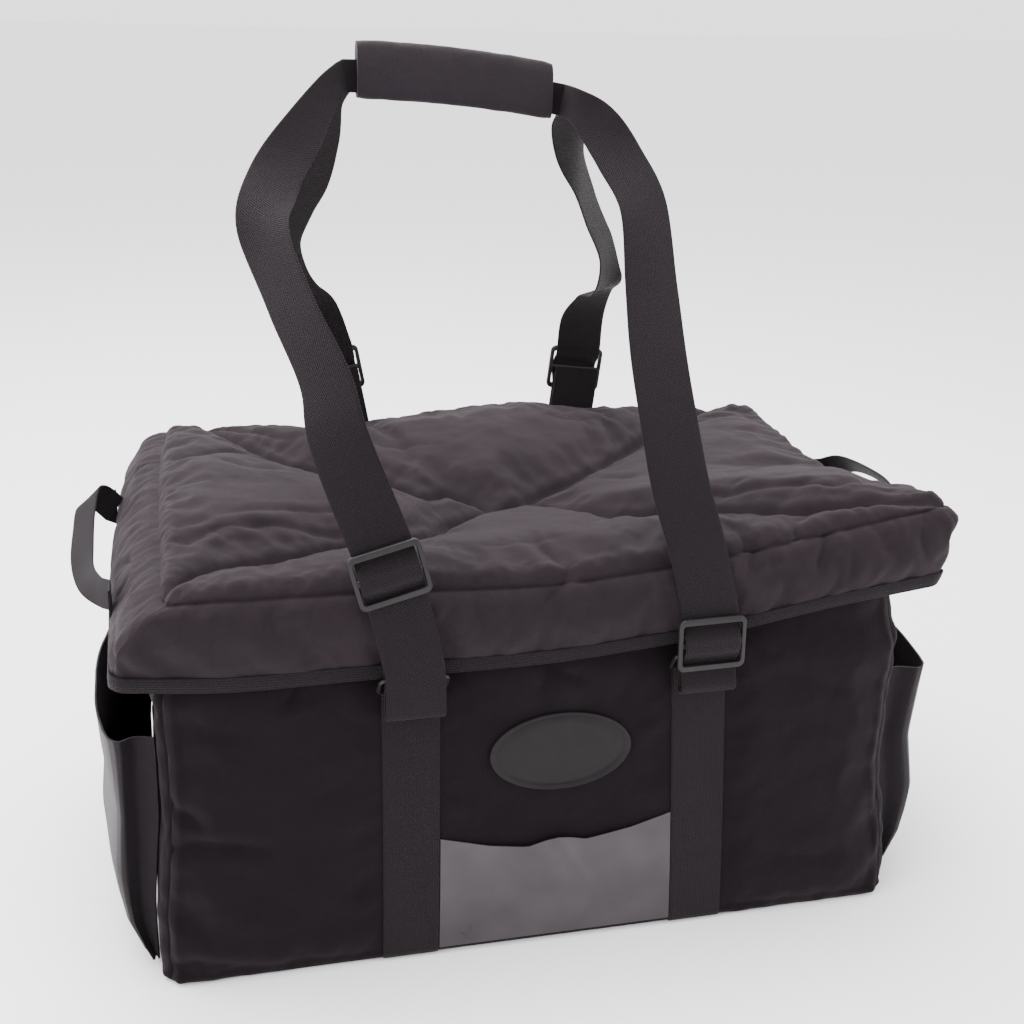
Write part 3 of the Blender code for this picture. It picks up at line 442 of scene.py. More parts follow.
def weave_group():
    """Plain weave: over and under threads at a pitch, as a height and a thread mask."""
    tree = bpy.data.node_groups.new("plain_weave", "ShaderNodeTree")
    tree.interface.new_socket("Place", in_out="INPUT", socket_type="NodeSocketVector")
    tree.interface.new_socket("Pitch", in_out="INPUT", socket_type="NodeSocketFloat")
    tree.interface.new_socket("Height", in_out="OUTPUT", socket_type="NodeSocketFloat")
    source = tree.nodes.new("NodeGroupInput")
    result = tree.nodes.new("NodeGroupOutput")
    split = tree.nodes.new("ShaderNodeSeparateXYZ")
    tree.links.new(source.outputs["Place"], split.inputs[0])
    across = math_node(tree, "DIVIDE", split.outputs["X"], source.outputs["Pitch"])
    along = math_node(tree, "DIVIDE", split.outputs["Y"], source.outputs["Pitch"])
    warp = math_node(tree, "ABSOLUTE", math_node(tree, "SINE", math_node(tree, "MULTIPLY", across, math.pi)))
    weft = math_node(tree, "ABSOLUTE", math_node(tree, "SINE", math_node(tree, "MULTIPLY", along, math.pi)))
    cells = math_node(tree, "ADD", math_node(tree, "FLOOR", across), math_node(tree, "FLOOR", along))
    over = math_node(tree, "ABSOLUTE", math_node(tree, "MODULO", cells, 2.0))
    blend = tree.nodes.new("ShaderNodeMix")
    tree.links.new(over, blend.inputs["Factor"])
    tree.links.new(warp, blend.inputs["A"])
    tree.links.new(weft, blend.inputs["B"])
    tree.links.new(blend.outputs["Result"], result.inputs["Height"])
    return tree


WEAVE = weave_group()


def woven_nylon(name, dark, light, pitch, bump, roughness, gloss):
    """Woven nylon: fine threads, small crumples, soft wear patches and a painted highlight on the raised
    threads of the weave.
    """
    finish, tree, shader, coordinates = new_finish(name)
    weave = tree.nodes.new("ShaderNodeGroup")
    weave.node_tree = WEAVE
    weave.inputs["Pitch"].default_value = pitch
    tree.links.new(coordinates.outputs["UV"], weave.inputs["Place"])
    threads_over = weave.outputs["Height"]
    patches = noise_factor(tree, coordinates, 9.0, 5.0)
    threads = noise_factor(tree, coordinates, 560.0, 2.0)
    crumples = noise_factor(tree, coordinates, 48.0, 3.0, 0.6)
    mixed = math_node(tree, "ADD", math_node(tree, "MULTIPLY", patches, 0.40),
                      math_node(tree, "MULTIPLY", threads, 0.42))
    # The weave's raised threads are painted lighter: a painted highlight on the thread tops.
    tone_and_painted_light = math_node(tree, "ADD", mixed, math_node(tree, "MULTIPLY", threads_over, 0.18))
    blend_colors(tree, shader, tone_and_painted_light, 0.34, dark, 0.70, light)
    rough = math_node(tree, "MULTIPLY_ADD", patches, 0.14, roughness - 0.07)
    tree.links.new(rough, shader.inputs["Roughness"])
    heights = math_node(tree, "ADD", threads_over, math_node(tree, "MULTIPLY", threads, 0.9))
    folds = bump_normal(tree, crumples, 0.5, 0.0016)
    tree.links.new(bump_normal(tree, heights, bump, 0.0005, folds), shader.inputs["Normal"])
    set_gloss(shader, gloss, 0.5, (0.90, 0.74, 0.84), (1.0, 0.84, 0.94))
    shader.inputs["Sheen Roughness"].default_value = 0.45
    return finish


def flat_unwrap(piece):
    """UV map in metres, laid on each face's nearest flat plane."""
    mesh = piece.data
    layer = mesh.uv_layers.new(name="cloth")
    for polygon in mesh.polygons:
        face = [abs(part) for part in polygon.normal]
        for loop in polygon.loop_indices:
            spot = mesh.vertices[mesh.loops[loop].vertex_index].co
            if face[2] >= max(face[0], face[1]):
                layer.data[loop].uv = (spot.x, spot.y)
            elif face[1] >= face[0]:
                layer.data[loop].uv = (spot.x, spot.z)
            else:
                layer.data[loop].uv = (spot.y, spot.z)


def finish_piece(piece, record_slot, *nodes):
    """Hang a finished piece on the bag in place of its solids."""
    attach(piece, "root")
    if nodes:
        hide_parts(*nodes)


def refine(piece, levels=1):
    """One smooth subdivision, made part of the mesh, with its open ends closed flat."""
    surface = piece.modifiers.new("smooth", "SUBSURF")
    surface.levels = levels
    surface.render_levels = levels
    refined = bpy.data.meshes.new_from_object(piece.evaluated_get(bpy.context.evaluated_depsgraph_get()))
    piece.modifiers.remove(surface)
    piece.data = refined
    builder = bmesh.new()
    builder.from_mesh(refined)
    bmesh.ops.holes_fill(builder, edges=[edge for edge in builder.edges if edge.is_boundary], sides=0)
    builder.to_mesh(refined)
    builder.free()
    refined.shade_smooth()


def body_sides(height, inset=0.0):
    """Distances of the body's left, right, front and back walls at a height."""
    share = min(1.0, max(0.0, height / BODY_HEIGHT))
    halves = (HALF_LENGTH, HALF_LENGTH, HALF_DEPTH, HALF_DEPTH)
    return [half * lookup(BODY_SECTIONS, share, column) - inset
            for column, half in enumerate(halves, start=1)]


BODY_NYLON = woven_nylon("body_nylon", (0.0020, 0.0013, 0.0018), (0.0052, 0.0035, 0.0046),
                         0.0008, 0.55, 0.74, 0.07)


def body_wall(height, inset=0.0, share=1.0):
    """Ring function of the body's wall at a height, or of its base at a share of the way out."""
    sides = [side * share for side in body_sides(height, inset)]

    def ring(point):
        return place(point, sides, height)
    return ring


body_rings = [body_wall(0.0, BASE_ROUND, share) for share in (0.3, 0.7, 0.94)]
for step in range(5):
    angle = math.radians(90 * step / 4)
    body_rings.append(body_wall(BASE_ROUND * (1 - math.cos(angle)), BASE_ROUND * (1 - math.sin(angle))))
body_rings += [body_wall(BODY_HEIGHT * step / BODY_WALL_RINGS) for step in range(2, BODY_WALL_RINGS + 1)]
body_rings += [body_wall(BODY_HEIGHT * share, PADDING) for share in (1.0, 0.8, 0.6, 0.4, 0.2)]
body_rings += [body_wall(PADDING, PADDING + BASE_ROUND * turn, share)
               for turn, share in ((0, 1.0), (1, 1.0), (1, 0.94), (1, 0.7), (1, 0.3))]
body = pan_mesh("bag_body", BODY_SPREAD, BODY_CORNER, body_rings, BODY_NYLON)

WEBBING_WIDTH = 0.046
LEFT_WEBBING_X = -0.120
BACK_LEFT_SHIFT = 0.020
RIGHT_WEBBING_X = 0.128
RIGHT_WEBBING_LEAN = -0.012
RING_HEIGHT = 0.245925


def webbing_x(webbing, side, height):
    """Middle of a sewn webbing at a height on the front (-1) or back (1) wall."""
    if webbing == "right":
        return RIGHT_WEBBING_X + RIGHT_WEBBING_LEAN * height / RING_HEIGHT
    return LEFT_WEBBING_X + (BACK_LEFT_SHIFT if side > 0 else 0.0)


body_pins = []
for vertex in body.data.vertices:
    spot = vertex.co
    sides = body_sides(spot.z)
    held = 0.0
    if spot.z < 0.004 or spot.z > BODY_HEIGHT - 0.012:
        held = 1.0
    outside = (spot.x < -sides[0] + 0.004 or spot.x > sides[1] - 0.004
               or spot.y < -sides[2] + 0.004 or spot.y > sides[3] - 0.004)
    if not outside:
        held = 1.0
    if abs(spot.y) > HALF_DEPTH * 0.9:
        side = -1 if spot.y < 0 else 1
        for webbing in ("left", "right"):
            if abs(spot.x - webbing_x(webbing, side, spot.z)) < WEBBING_WIDTH / 2 + 0.004:
                held = 1.0
        if side < 0 and abs(spot.x) < 0.110 and (spot.z < 0.122 or abs(spot.x) < 0.070 and spot.z < 0.218):
            held = 1.0
    if abs(spot.x) > HALF_LENGTH * 0.9 and spot.z < 0.225 and abs(spot.y) < 0.175:
        held = 1.0
    body_pins.append(held)
settle_cloth(body, body_pins, 1.5, 0.015, 14, 0.005)
refine(body)

spots, normals = point_array(body.data)
in_plan = spots[:, :2]
on_front = (normals[:, 1] < -0.6) & (spots[:, 1] < -HALF_DEPTH * 0.85)
on_back = (normals[:, 1] > 0.6) & (spots[:, 1] > HALF_DEPTH * 0.85)
on_end = (abs(normals[:, 0]) > 0.6) & (abs(spots[:, 0]) > HALF_LENGTH * 0.85)
outward = numpy.sum(normals[:, :2] * in_plan, axis=1) > 0
beside_webbing = numpy.ones(len(spots))
for webbing in ("left", "right"):
    for side, wall in ((-1, on_front), (1, on_back)):
        middle = numpy.array([webbing_x(webbing, side, height) for height in spots[:, 2]])
        clear = numpy.clip((abs(spots[:, 0] - middle) - WEBBING_WIDTH / 2 - 0.001) / 0.008, 0, 1)
        beside_webbing[wall] = numpy.minimum(beside_webbing, clear)[wall]
depth = numpy.zeros(len(spots))
for wall, axis, table in ((on_front, 0, FRONT_CREASES), (on_back, 0, BACK_CREASES), (on_end, 1, END_CREASES)):
    depth[wall] = crease_depth(spots[wall][:, [axis, 2]], table)
walls = (on_front | on_back | on_end) & outward
depth[walls] -= crumple(spots[walls], WALL_CRUMPLE_SIZE, WALL_CRUMPLE_HEIGHT)
behind_window = on_front & (abs(spots[:, 0]) < HELD_HALF_WINDOW) & (spots[:, 2] < HELD_WINDOW_TOP)
patch_x, patch_z, half_patch, half_patch_tall = HELD_PATCH
behind_patch = (on_front & (abs(spots[:, 0] - patch_x) < half_patch)
                & (abs(spots[:, 2] - patch_z) < half_patch_tall))
depth[behind_window | behind_patch] = numpy.maximum(depth, 0.0)[behind_window | behind_patch] * 0.3
depth *= beside_webbing

# Seams down the four corners and round the base
corner_depth = numpy.zeros(len(spots))
heights = numpy.clip(spots[:, 2], 0, BODY_HEIGHT)
for sign_x in (-1, 1):
    for sign_y in (-1, 1):
        column = (3 if sign_y < 0 else 4, 1 if sign_x < 0 else 2)
        wide = numpy.interp(heights / BODY_HEIGHT, [row[0] for row in BODY_SECTIONS],
                            [row[column[1]] for row in BODY_SECTIONS]) * HALF_LENGTH
        deep = numpy.interp(heights / BODY_HEIGHT, [row[0] for row in BODY_SECTIONS],
                            [row[column[0]] for row in BODY_SECTIONS]) * HALF_DEPTH
        inset = BODY_CORNER * (1 - math.sqrt(0.5))
        away = numpy.hypot(spots[:, 0] - sign_x * (wide - inset), spots[:, 1] - sign_y * (deep - inset))
        corner_depth += CORNER_SEAM_DEPTH * numpy.exp(-away / CORNER_SEAM_WIDTH)
        corner_roll = numpy.exp(-((away - CORNER_ROLL_PLACE) / CORNER_ROLL_WIDTH) ** 2)
        corner_depth -= CORNER_ROLL_HEIGHT * corner_roll
from_base = abs(spots[:, 2] - BASE_ROUND - BASE_SEAM_LIFT)
base_seam = BASE_SEAM_DEPTH * numpy.exp(-from_base / BASE_SEAM_WIDTH) * (1 - numpy.exp(-(away / 0.01) ** 2))
depth += (corner_depth + base_seam * beside_webbing) * outward * (spots[:, 2] > 0.003)
press_in(body.data, depth)
flat_unwrap(body)
finish_piece(body, "bag_nylon", "body")

# Sewn webbing
# Two bands of ribbed nylon webbing, stitched down along both edges, that run from a ring on the
# front under the base to a ring on the back, each end folded over its ring and sewn to itself.
WEBBING_THICKNESS = 0.002
WEBBING_SINK = 0.0005
TAB_LENGTH = 0.022
RING_WIRE = 0.0035
GAP = 0.0003


def webbing_finish(name, dark, light, rib, roughness, gloss):
    """Ribbed webbing: cross ribs over lengthwise yarns, staggered from yarn to yarn, with a painted highlight
    on the rib tops and painted shade in the gaps.
    """
    finish, tree, shader, coordinates = new_finish(name)
    split = tree.nodes.new("ShaderNodeSeparateXYZ")
    tree.links.new(coordinates.outputs["UV"], split.inputs[0])
    yarns = math_node(tree, "DIVIDE", split.outputs["X"], rib * 0.62)
    shift = math_node(tree, "MULTIPLY", math_node(tree, "MODULO", math_node(tree, "FLOOR", yarns), 2.0), 0.5)
    ribs = math_node(tree, "ADD", math_node(tree, "DIVIDE", split.outputs["Y"], rib), shift)
    crown = math_node(tree, "ABSOLUTE", math_node(tree, "SINE", math_node(tree, "MULTIPLY", ribs, math.pi)))
    cord = math_node(tree, "ABSOLUTE", math_node(tree, "SINE", math_node(tree, "MULTIPLY", yarns, math.pi)))
    height = math_node(tree, "MULTIPLY", math_node(tree, "POWER", crown, 0.7),
                       math_node(tree, "POWER", cord, 0.5))
    fuzz = noise_factor(tree, coordinates, 1200.0, 2.0)
    patches = noise_factor(tree, coordinates, 14.0, 4.0)
    # The rib height sets the colour: a painted highlight on the rib tops and painted shade in the gaps, over
    # random patches of tone.
    tone_and_painted_light = math_node(tree, "ADD", math_node(tree, "MULTIPLY", height, 0.75),
                    math_node(tree, "MULTIPLY", patches, 0.25))
    blend_colors(tree, shader, tone_and_painted_light, 0.20, dark, 0.85, light)
    rough = math_node(tree, "MULTIPLY_ADD", patches, 0.12, roughness - 0.06)
    tree.links.new(rough, shader.inputs["Roughness"])
    relief = math_node(tree, "ADD", height, math_node(tree, "MULTIPLY", fuzz, 0.3))
    tree.links.new(bump_normal(tree, relief, 1.0, 0.0009), shader.inputs["Normal"])
    set_gloss(shader, gloss, 0.4, (0.90, 0.78, 0.86), (1.0, 0.86, 0.95))
    return finish


# Dark colour: painted shade in the rib gaps; light colour: painted highlight on the rib tops.
WEBBING_FINISH = webbing_finish("ribbed_webbing", (0.0006, 0.0005, 0.0006), (0.0088, 0.0068, 0.0082),
                                0.0021, 0.62, 0.09)

CLOTH_EDGE = 60

# Cross-section of a band: shares of half its width and half its thickness, once round
BAND_SECTION = (
    (-1.000, -0.35), (-0.975, -0.85), (-0.900, -1.00), (-0.450, -1.00), (0.000, -1.00), (0.450, -1.00),
    (0.900, -1.00), (0.975, -0.85), (1.000, -0.35), (1.000, 0.35), (0.975, 0.85), (0.900, 1.00),
    (0.450, 1.00), (0.000, 1.00), (-0.450, 1.00), (-0.900, 1.00), (-0.975, 0.85), (-1.000, 0.35),
)


def band_frames(frames):
    """Frames of a band with their direction along, direction across and facing."""
    full = []
    for index, (centre, across, width) in enumerate(frames):
        before = frames[max(index - 1, 0)][0]
        after = frames[min(index + 1, len(frames) - 1)][0]
        along = (after - before).normalized()
        side = (across - along * across.dot(along)).normalized()
        full.append((centre, along, side, along.cross(side), width))
    return full


def band_mesh(name, frames, thickness, finish):
    """Woven band with rounded edges along frames, with a UV map in metres."""
    full = band_frames(frames)
    count = len(BAND_SECTION)
    points = []
    lengths = []
    run = 0.0
    for index, (centre, along, side, face, width) in enumerate(full):
        if index:
            run += (centre - full[index - 1][0]).length
        lengths.append(run)
        points += [centre + side * (share * width / 2) + face * (deep * thickness / 2)
                   for share, deep in BAND_SECTION]
    faces = []
    corners = []
    for index in range(len(full) - 1):
        for spot in range(count):
            following = (spot + 1) % count
            faces.append((index * count + spot, index * count + following,
                          (index + 1) * count + following, (index + 1) * count + spot))
            left = BAND_SECTION[spot][0] * WEBBING_WIDTH / 2
            right = BAND_SECTION[following][0] * WEBBING_WIDTH / 2
            corners += [(left, lengths[index]), (right, lengths[index]),
                        (right, lengths[index + 1]), (left, lengths[index + 1])]
    for first in (0, (len(full) - 1) * count):
        faces.append(tuple(range(first, first + count)))
        corners += [(share * 0.01, deep * 0.001) for share, deep in BAND_SECTION]
    return make_piece(name, points, faces, finish, corners, CLOTH_EDGE)


def wall_distance(side, height):
    """Distance of the middle of a sewn webbing from the bag's middle plane."""
    wall = body_sides(height)[2 if side < 0 else 3]
    return wall + GAP + WEBBING_THICKNESS / 2 - WEBBING_SINK


def ring_bar_distance(side):
    """Distance of a ring's lower bar from the bag's middle plane."""
    return wall_distance(side, RING_HEIGHT) + WEBBING_THICKNESS / 2 + GAP + RING_WIRE / 2


def webbing_half(webbing, side):
    """Frames from the sewn tab over the ring's bar and down the wall to the base."""
    bar = ring_bar_distance(side)
    turn = RING_WIRE / 2 + GAP + WEBBING_THICKNESS / 2
    stations = [(bar + turn, RING_HEIGHT - TAB_LENGTH * (1 - step / 6)) for step in range(6)]
    for step in range(13):
        angle = math.radians(180 * step / 12)
        stations.append((bar + turn * math.cos(angle), RING_HEIGHT + turn * math.sin(angle)))
    corner_height = BASE_ROUND + WEBBING_THICKNESS / 2
    bottom = corner_height + BASE_ROUND
    levels = [bottom + (RING_HEIGHT - TAB_LENGTH - bottom) * step / 36 for step in range(36, 0, -1)]
    stations += [(wall_distance(side, level), level) for level in levels]
    corner = wall_distance(side, corner_height) - BASE_ROUND
    for step in range(9):
        angle = math.radians(90 * step / 8)
        stations.append((corner + BASE_ROUND * math.cos(angle), corner_height - BASE_ROUND * math.sin(angle)))
    for share in (0.95, 0.8, 0.6, 0.4, 0.2):
        stations.append((corner * share, corner_height - BASE_ROUND))
    return [(Vector((webbing_x(webbing, side, height), side * distance, height)), Vector((1, 0, 0)),
             WEBBING_WIDTH) for distance, height in stations]


for webbing in ("left", "right"):
    frames = webbing_half(webbing, -1) + webbing_half(webbing, 1)[::-1]
    band = band_mesh("webbing_" + webbing, frames, WEBBING_THICKNESS, WEBBING_FINISH)
    finish_piece(band, "webbing", "webbing_" + webbing)

# Side pockets
# Gusseted pouches of unpadded nylon on both ends, which stand open and sag where papers have
# stretched them.
POCKET_WIDTH = 0.326
POCKET_HEIGHT = 0.205
POCKET_LIFT = 0.004
POCKET_DEPTHS = {"left": 0.036, "right": 0.048}
POCKET_CLOTH = 0.0016

POCKET_PLAN = (
    # step, along, out
    (0, -1.000, 0.00), (1, -0.960, 0.38), (2, -1.020, 0.72), (3, -0.975, 0.98), (4, -0.760, 1.08),
    (5, -0.500, 1.20), (6, -0.200, 1.28), (7, 0.100, 1.16), (8, 0.400, 0.96), (9, 0.700, 0.82),
    (10, 0.950, 0.72), (11, 1.000, 0.45), (12, 0.960, 0.22), (13, 1.000, 0.00),
)
POCKET_LEVELS = (
    # height, out
    (0.00, 0.12), (0.06, 0.34), (0.18, 0.66), (0.40, 0.92), (0.70, 0.96), (1.00, 1.04),
)


def sheet_mesh(name, grid, thickness, finish, widths=None):
    """Cloth sheet on a grid of points, given its thickness behind its face."""
    rows = len(grid)
    columns = len(grid[0])
    points = [spot for row in grid for spot in row]
    faces = []
    corners = []
    for row in range(rows - 1):
        for column in range(columns - 1):
            faces.append((row * columns + column, row * columns + column + 1,
                          (row + 1) * columns + column + 1, (row + 1) * columns + column))
            for down, over in ((0, 0), (0, 1), (1, 1), (1, 0)):
                corners.append(((column + over) / (columns - 1) * widths[0],
                                (row + down) / (rows - 1) * widths[1]))
    mesh = bpy.data.meshes.new(name)
    mesh.from_pydata(points, [], faces)
    layer = mesh.uv_layers.new(name="cloth")
    for item, corner in zip(layer.data, corners):
        item.uv = corner
    mesh.materials.append(finish)
    piece = bpy.data.objects.new(name, mesh)
    bpy.context.scene.collection.objects.link(piece)
    wall = piece.modifiers.new("cloth", "SOLIDIFY")
    wall.thickness = thickness
    wall.offset = -1
    solid = bpy.data.meshes.new_from_object(piece.evaluated_get(bpy.context.evaluated_depsgraph_get()))
    piece.modifiers.remove(wall)
    piece.data = solid
    solid.shade_smooth()
    solid.set_sharp_from_angle(angle=math.radians(60))
    return piece


POCKET_NYLON = woven_nylon("pocket_nylon", (0.0018, 0.0014, 0.0018), (0.0052, 0.0042, 0.0052),
                           0.0007, 0.35, 0.50, 0.12)


def pocket_grid(name):
    """Points of a pocket's face, from its sewn front edge to its back edge and from base to rim."""
    side = -1 if name == "left" else 1
    column = 0 if side < 0 else 1
    depth = POCKET_DEPTHS[name]
    grid = []
    for level in range(33):
        share = level / 32
        height = POCKET_LIFT + (POCKET_HEIGHT - POCKET_LIFT) * share
        line = []
        for step in range(79):
            spot = 13 * step / 78
            low = lookup(POCKET_PLAN, spot, 1)
            out = lookup(POCKET_PLAN, spot, 2)
            near = [(lookup(POCKET_PLAN, spot + off, 1), lookup(POCKET_PLAN, spot + off, 2))
                    for off in (-0.45, 0.45) if 0 <= spot + off <= 13]
            along = (low * 2 + sum(item[0] for item in near)) / (2 + len(near))
            out = (out * 2 + sum(item[1] for item in near)) / (2 + len(near))
            if spot < 0.45 or spot > 12.55:
                along = low
                out = lookup(POCKET_PLAN, spot, 2)
            ripple = 0.0035 * noise.noise(Vector((spot * 0.55, share * 2.2, side * 3.1)))
            stand = out * depth * lookup(POCKET_LEVELS, share, 1)
            stand = max(0.0, stand + ripple * min(1.0, out * 2) * min(1.0, share * 4))
            distance = body_sides(height)[column] + 2 * GAP + stand + POCKET_CLOTH
            line.append(Vector((side * distance, along * POCKET_WIDTH / 2, height)))
        grid.append(line if side > 0 else line[::-1])
    return grid


for name in ("left", "right"):
    pocket = sheet_mesh("side_pocket_" + name, pocket_grid(name), POCKET_CLOTH, POCKET_NYLON, (0.42, 0.23))
    finish_piece(pocket, "pocket_nylon", "side_pocket_" + name)

# Clear pocket
# A sheet of soft clear vinyl held between the front webbings, open above and slack enough to wave.
WINDOW_HEIGHT = 0.112
WINDOW_THICKNESS = 0.001
WINDOW_SLACK = 0.003

WINDOW_EDGE = (
    # across, height
    (0.00, 0.99), (0.20, 0.90), (0.37, 0.86), (0.50, 0.92), (0.62, 0.87), (0.82, 0.92), (1.00, 1.00),
)


def vinyl_finish():
    """Clear vinyl drawn as an opaque sheet whose grey is a painted reflection of the bright studio, varied by
    handling haze, with soft ripples in its gloss.
    """
    finish, tree, shader, coordinates = new_finish("clear_vinyl")
    reflection_and_haze = noise_factor(tree, coordinates, 24.0, 4.0)
    # The grey stands where the black cloth would show through the clear sheet: a painted reflection of the
    # studio, lighter and darker with the haze.
    blend_colors(tree, shader, reflection_and_haze, 0.3, (0.0170, 0.0125, 0.0155), 0.75, (0.0330, 0.0260, 0.0305))
    rough = math_node(tree, "MULTIPLY_ADD", reflection_and_haze, 0.24, 0.20)
    tree.links.new(rough, shader.inputs["Roughness"])
    tree.links.new(bump_normal(tree, reflection_and_haze, 0.25, 0.003), shader.inputs["Normal"])
    shader.inputs["Coat Weight"].default_value = 0.25
    shader.inputs["Coat Roughness"].default_value = 0.12
    shader.inputs["Specular IOR Level"].default_value = 0.25
    return finish


def window_grid():
    """Points of the clear pocket from its left to its right edge, from base to hem."""
    grid = []
    for level in range(41):
        share = level / 40
        line = []
        for step in range(73):
            across = step / 72
            top = WINDOW_HEIGHT * lookup(WINDOW_EDGE, across, 1)
            height = BASE_ROUND + (top - BASE_ROUND) * share
            left = webbing_x("left", -1, height) + WEBBING_WIDTH / 2 + 2 * GAP
            right = webbing_x("right", -1, height) - WEBBING_WIDTH / 2 - 2 * GAP
            loose = math.sin(math.pi * across) * math.sin(math.pi / 2 * min(1.0, share))
            slack = WINDOW_SLACK * loose
            ridge = across - (0.50 + 0.28 * (1 - share))
            slack += 0.0022 * math.exp(-(ridge / 0.035) ** 2) * loose
            slack += 0.0012 * noise.noise(Vector((across * 5, share * 3, 7.7))) * loose
            wall = body_sides(height)[2]
            line.append(Vector((left + (right - left) * across,
                                -(wall + GAP + WINDOW_THICKNESS + max(0.0, slack)), height)))
        grid.append(line)
    return grid


window = sheet_mesh("window_pocket", window_grid(), WINDOW_THICKNESS, vinyl_finish(), (0.200, 0.105))
finish_piece(window, "clear_vinyl", "window_pocket")

# Oval patch
# A moulded rubber badge sewn to the front wall, with a raised rim and a bare middle.
PATCH_LENGTH = 0.118
PATCH_WIDTH = 0.068
PATCH_X = 0.002
PATCH_Z = 0.180

PATCH_PROFILE = (
    # share, rise
    (1.000, 0.0004), (1.000, 0.0022), (0.992, 0.0030), (0.975, 0.0033), (0.955, 0.0032), (0.940, 0.0026),
    (0.930, 0.0023), (0.915, 0.0023), (0.905, 0.0019), (0.895, 0.0019), (0.885, 0.0023), (0.700, 0.0025),
    (0.400, 0.0026), (0.150, 0.0026),
)


def rubber_finish(name, dark, light, roughness, gloss):
    """Moulded rubber or plastic: fine grain, random patches of dust and slight gloss changes."""
    finish, tree, shader, coordinates = new_finish(name)
    grain = noise_factor(tree, coordinates, 1500.0, 2.0)
    dust = noise_factor(tree, coordinates, 60.0, 5.0)
    blend_colors(tree, shader, dust, 0.35, dark, 0.75, light)
    rough = math_node(tree, "MULTIPLY_ADD", dust, 0.16, roughness - 0.08)
    tree.links.new(rough, shader.inputs["Roughness"])
    tree.links.new(bump_normal(tree, grain, 0.35, 0.0002), shader.inputs["Normal"])
    shader.inputs["Specular IOR Level"].default_value = gloss
    return finish


def patch_mesh():
    """Rings of points from the badge's edge to its middle, over a flat back."""
    steps = 96
    points = []
    for share, rise in PATCH_PROFILE:
        for step in range(steps):
            angle = 2 * math.pi * step / steps
            x = PATCH_X + PATCH_LENGTH / 2 * share * math.cos(angle)
            z = PATCH_Z + PATCH_WIDTH / 2 * share * math.sin(angle)
            points.append(Vector((x, -(body_sides(z)[2] + rise), z)))
    faces = []
    for ring in range(len(PATCH_PROFILE) - 1):
        for step in range(steps):
            following = (step + 1) % steps
            faces.append((ring * steps + step, ring * steps + following,
                          (ring + 1) * steps + following, (ring + 1) * steps + step))
    faces.append(tuple(range(steps)))
    faces.append(tuple(range((len(PATCH_PROFILE) - 1) * steps, len(PATCH_PROFILE) * steps)))
    rubber = rubber_finish("patch_rubber", (0.0050, 0.0040, 0.0046), (0.0072, 0.0060, 0.0068), 0.50, 0.14)
    return make_piece("patch", points, faces, rubber, sharp=50)


patch = patch_mesh()
finish_piece(patch, "patch_rubber", "patch")

# Lid
# A padded cover in four puffed triangles between creases that meet in the middle, with a deep
# padded skirt sewn round it. Use has sagged the middle and lifted the front right corner.
SKIRT_DROP = 0.068
SKIRT_WALL = 0.010
LID_SAG = 0.028
LID_PUFF = 0.017
BINDING_WIDTH = 0.011
BINDING_THICKNESS = 0.0012
EDGE_BLEND_POWER = 1.6
PANEL_RISE_POWER = 1.5
LID_CORNER = 0.012
LID_SPREAD = (150, 94, 1.25)
CREASE_REACH = 0.030
EDGE_REACH = 0.016
LID_CRUMPLE_SIZE = 0.040
LID_CRUMPLE_HEIGHT = 0.0016
PUCKER_SIZE = 0.014
PUCKER_HEIGHT = 0.0011
PUCKER_REACH = 0.018
SEAM_DEPTH = 0.0034
SEAM_WIDTH = 0.0024
SEAM_ROLL_HEIGHT = 0.0022
SEAM_ROLL_PLACE = 0.011
SEAM_ROLL_WIDTH = 0.007
TAPE_MARGIN = 0.010

SKIRT_SECTIONS = (
    # drop, left, right, front, back
    (0.00, 0.955, 1.020, 1.032, 1.020),
    (0.22, 1.015, 1.040, 1.058, 1.046),
    (0.60, 1.068, 1.030, 1.058, 1.052),
    (1.00, 1.080, 1.000, 1.034, 1.038),
)
LID_EDGE = (
    # along, front, back, drop, flare
    (-1.00, 0.998, 1.040, 0.95, 0.00),
    (-0.75, 0.995, 1.020, 1.05, 0.00),
    (-0.50, 0.992, 1.000, 1.03, 0.00),
    (-0.05, 0.978, 1.035, 0.95, 0.00),
    (0.20, 0.995, 1.045, 0.95, 0.00),
    (0.42, 1.020, 1.025, 0.96, 0.00),
    (0.70, 1.065, 1.020, 0.90, 0.04),
    (1.00, 1.115, 1.020, 0.98, 0.03),
)
LID_ENDS = (
    # along, left, right, dip
    (-1.00, 1.000, 1.000, 0.000),
    (-0.60, 1.000, 0.985, 0.030),
    (-0.10, 1.000, 0.978, 0.060),
    (0.50, 0.985, 0.980, 0.030),
    (1.00, 0.960, 1.000, 0.000),
)


# Creases of the top panel that divide its puffs, then smaller folds: depth, width, number of faded
# ends, and a line of x and y
MAIN_CREASES = (
    (0.0046, 0.0040, 0, ((-0.272, 0.206), (-0.253, 0.198), (-0.231, 0.155), (-0.205, 0.111), (-0.183, 0.082),
                         (-0.152, 0.063), (-0.097, 0.046), (-0.073, 0.021), (-0.046, 0.035), (-0.026, 0.019),
                         (-0.008, -0.005))),
    (0.0042, 0.0040, 0, ((0.272, 0.196), (0.250, 0.181), (0.174, 0.122), (0.136, 0.091), (0.105, 0.066),
                         (0.074, 0.045), (0.043, 0.028), (0.015, 0.008), (-0.008, -0.005))),
    (0.0050, 0.0042, 0, ((-0.311, -0.203), (-0.295, -0.181), (-0.280, -0.165), (-0.260, -0.153),
                         (-0.234, -0.142), (-0.205, -0.128), (-0.179, -0.114), (-0.159, -0.103),
                         (-0.110, -0.094), (-0.078, -0.075), (-0.054, -0.034), (-0.024, -0.016),
                         (-0.008, -0.005))),
    (0.0046, 0.0040, 0, ((0.322, -0.205), (0.269, -0.189), (0.235, -0.178), (0.210, -0.173), (0.182, -0.154),
                         (0.152, -0.130), (0.109, -0.102), (0.079, -0.085), (0.062, -0.056), (0.037, -0.002),
                         (0.014, 0.007), (-0.008, -0.005))),
)
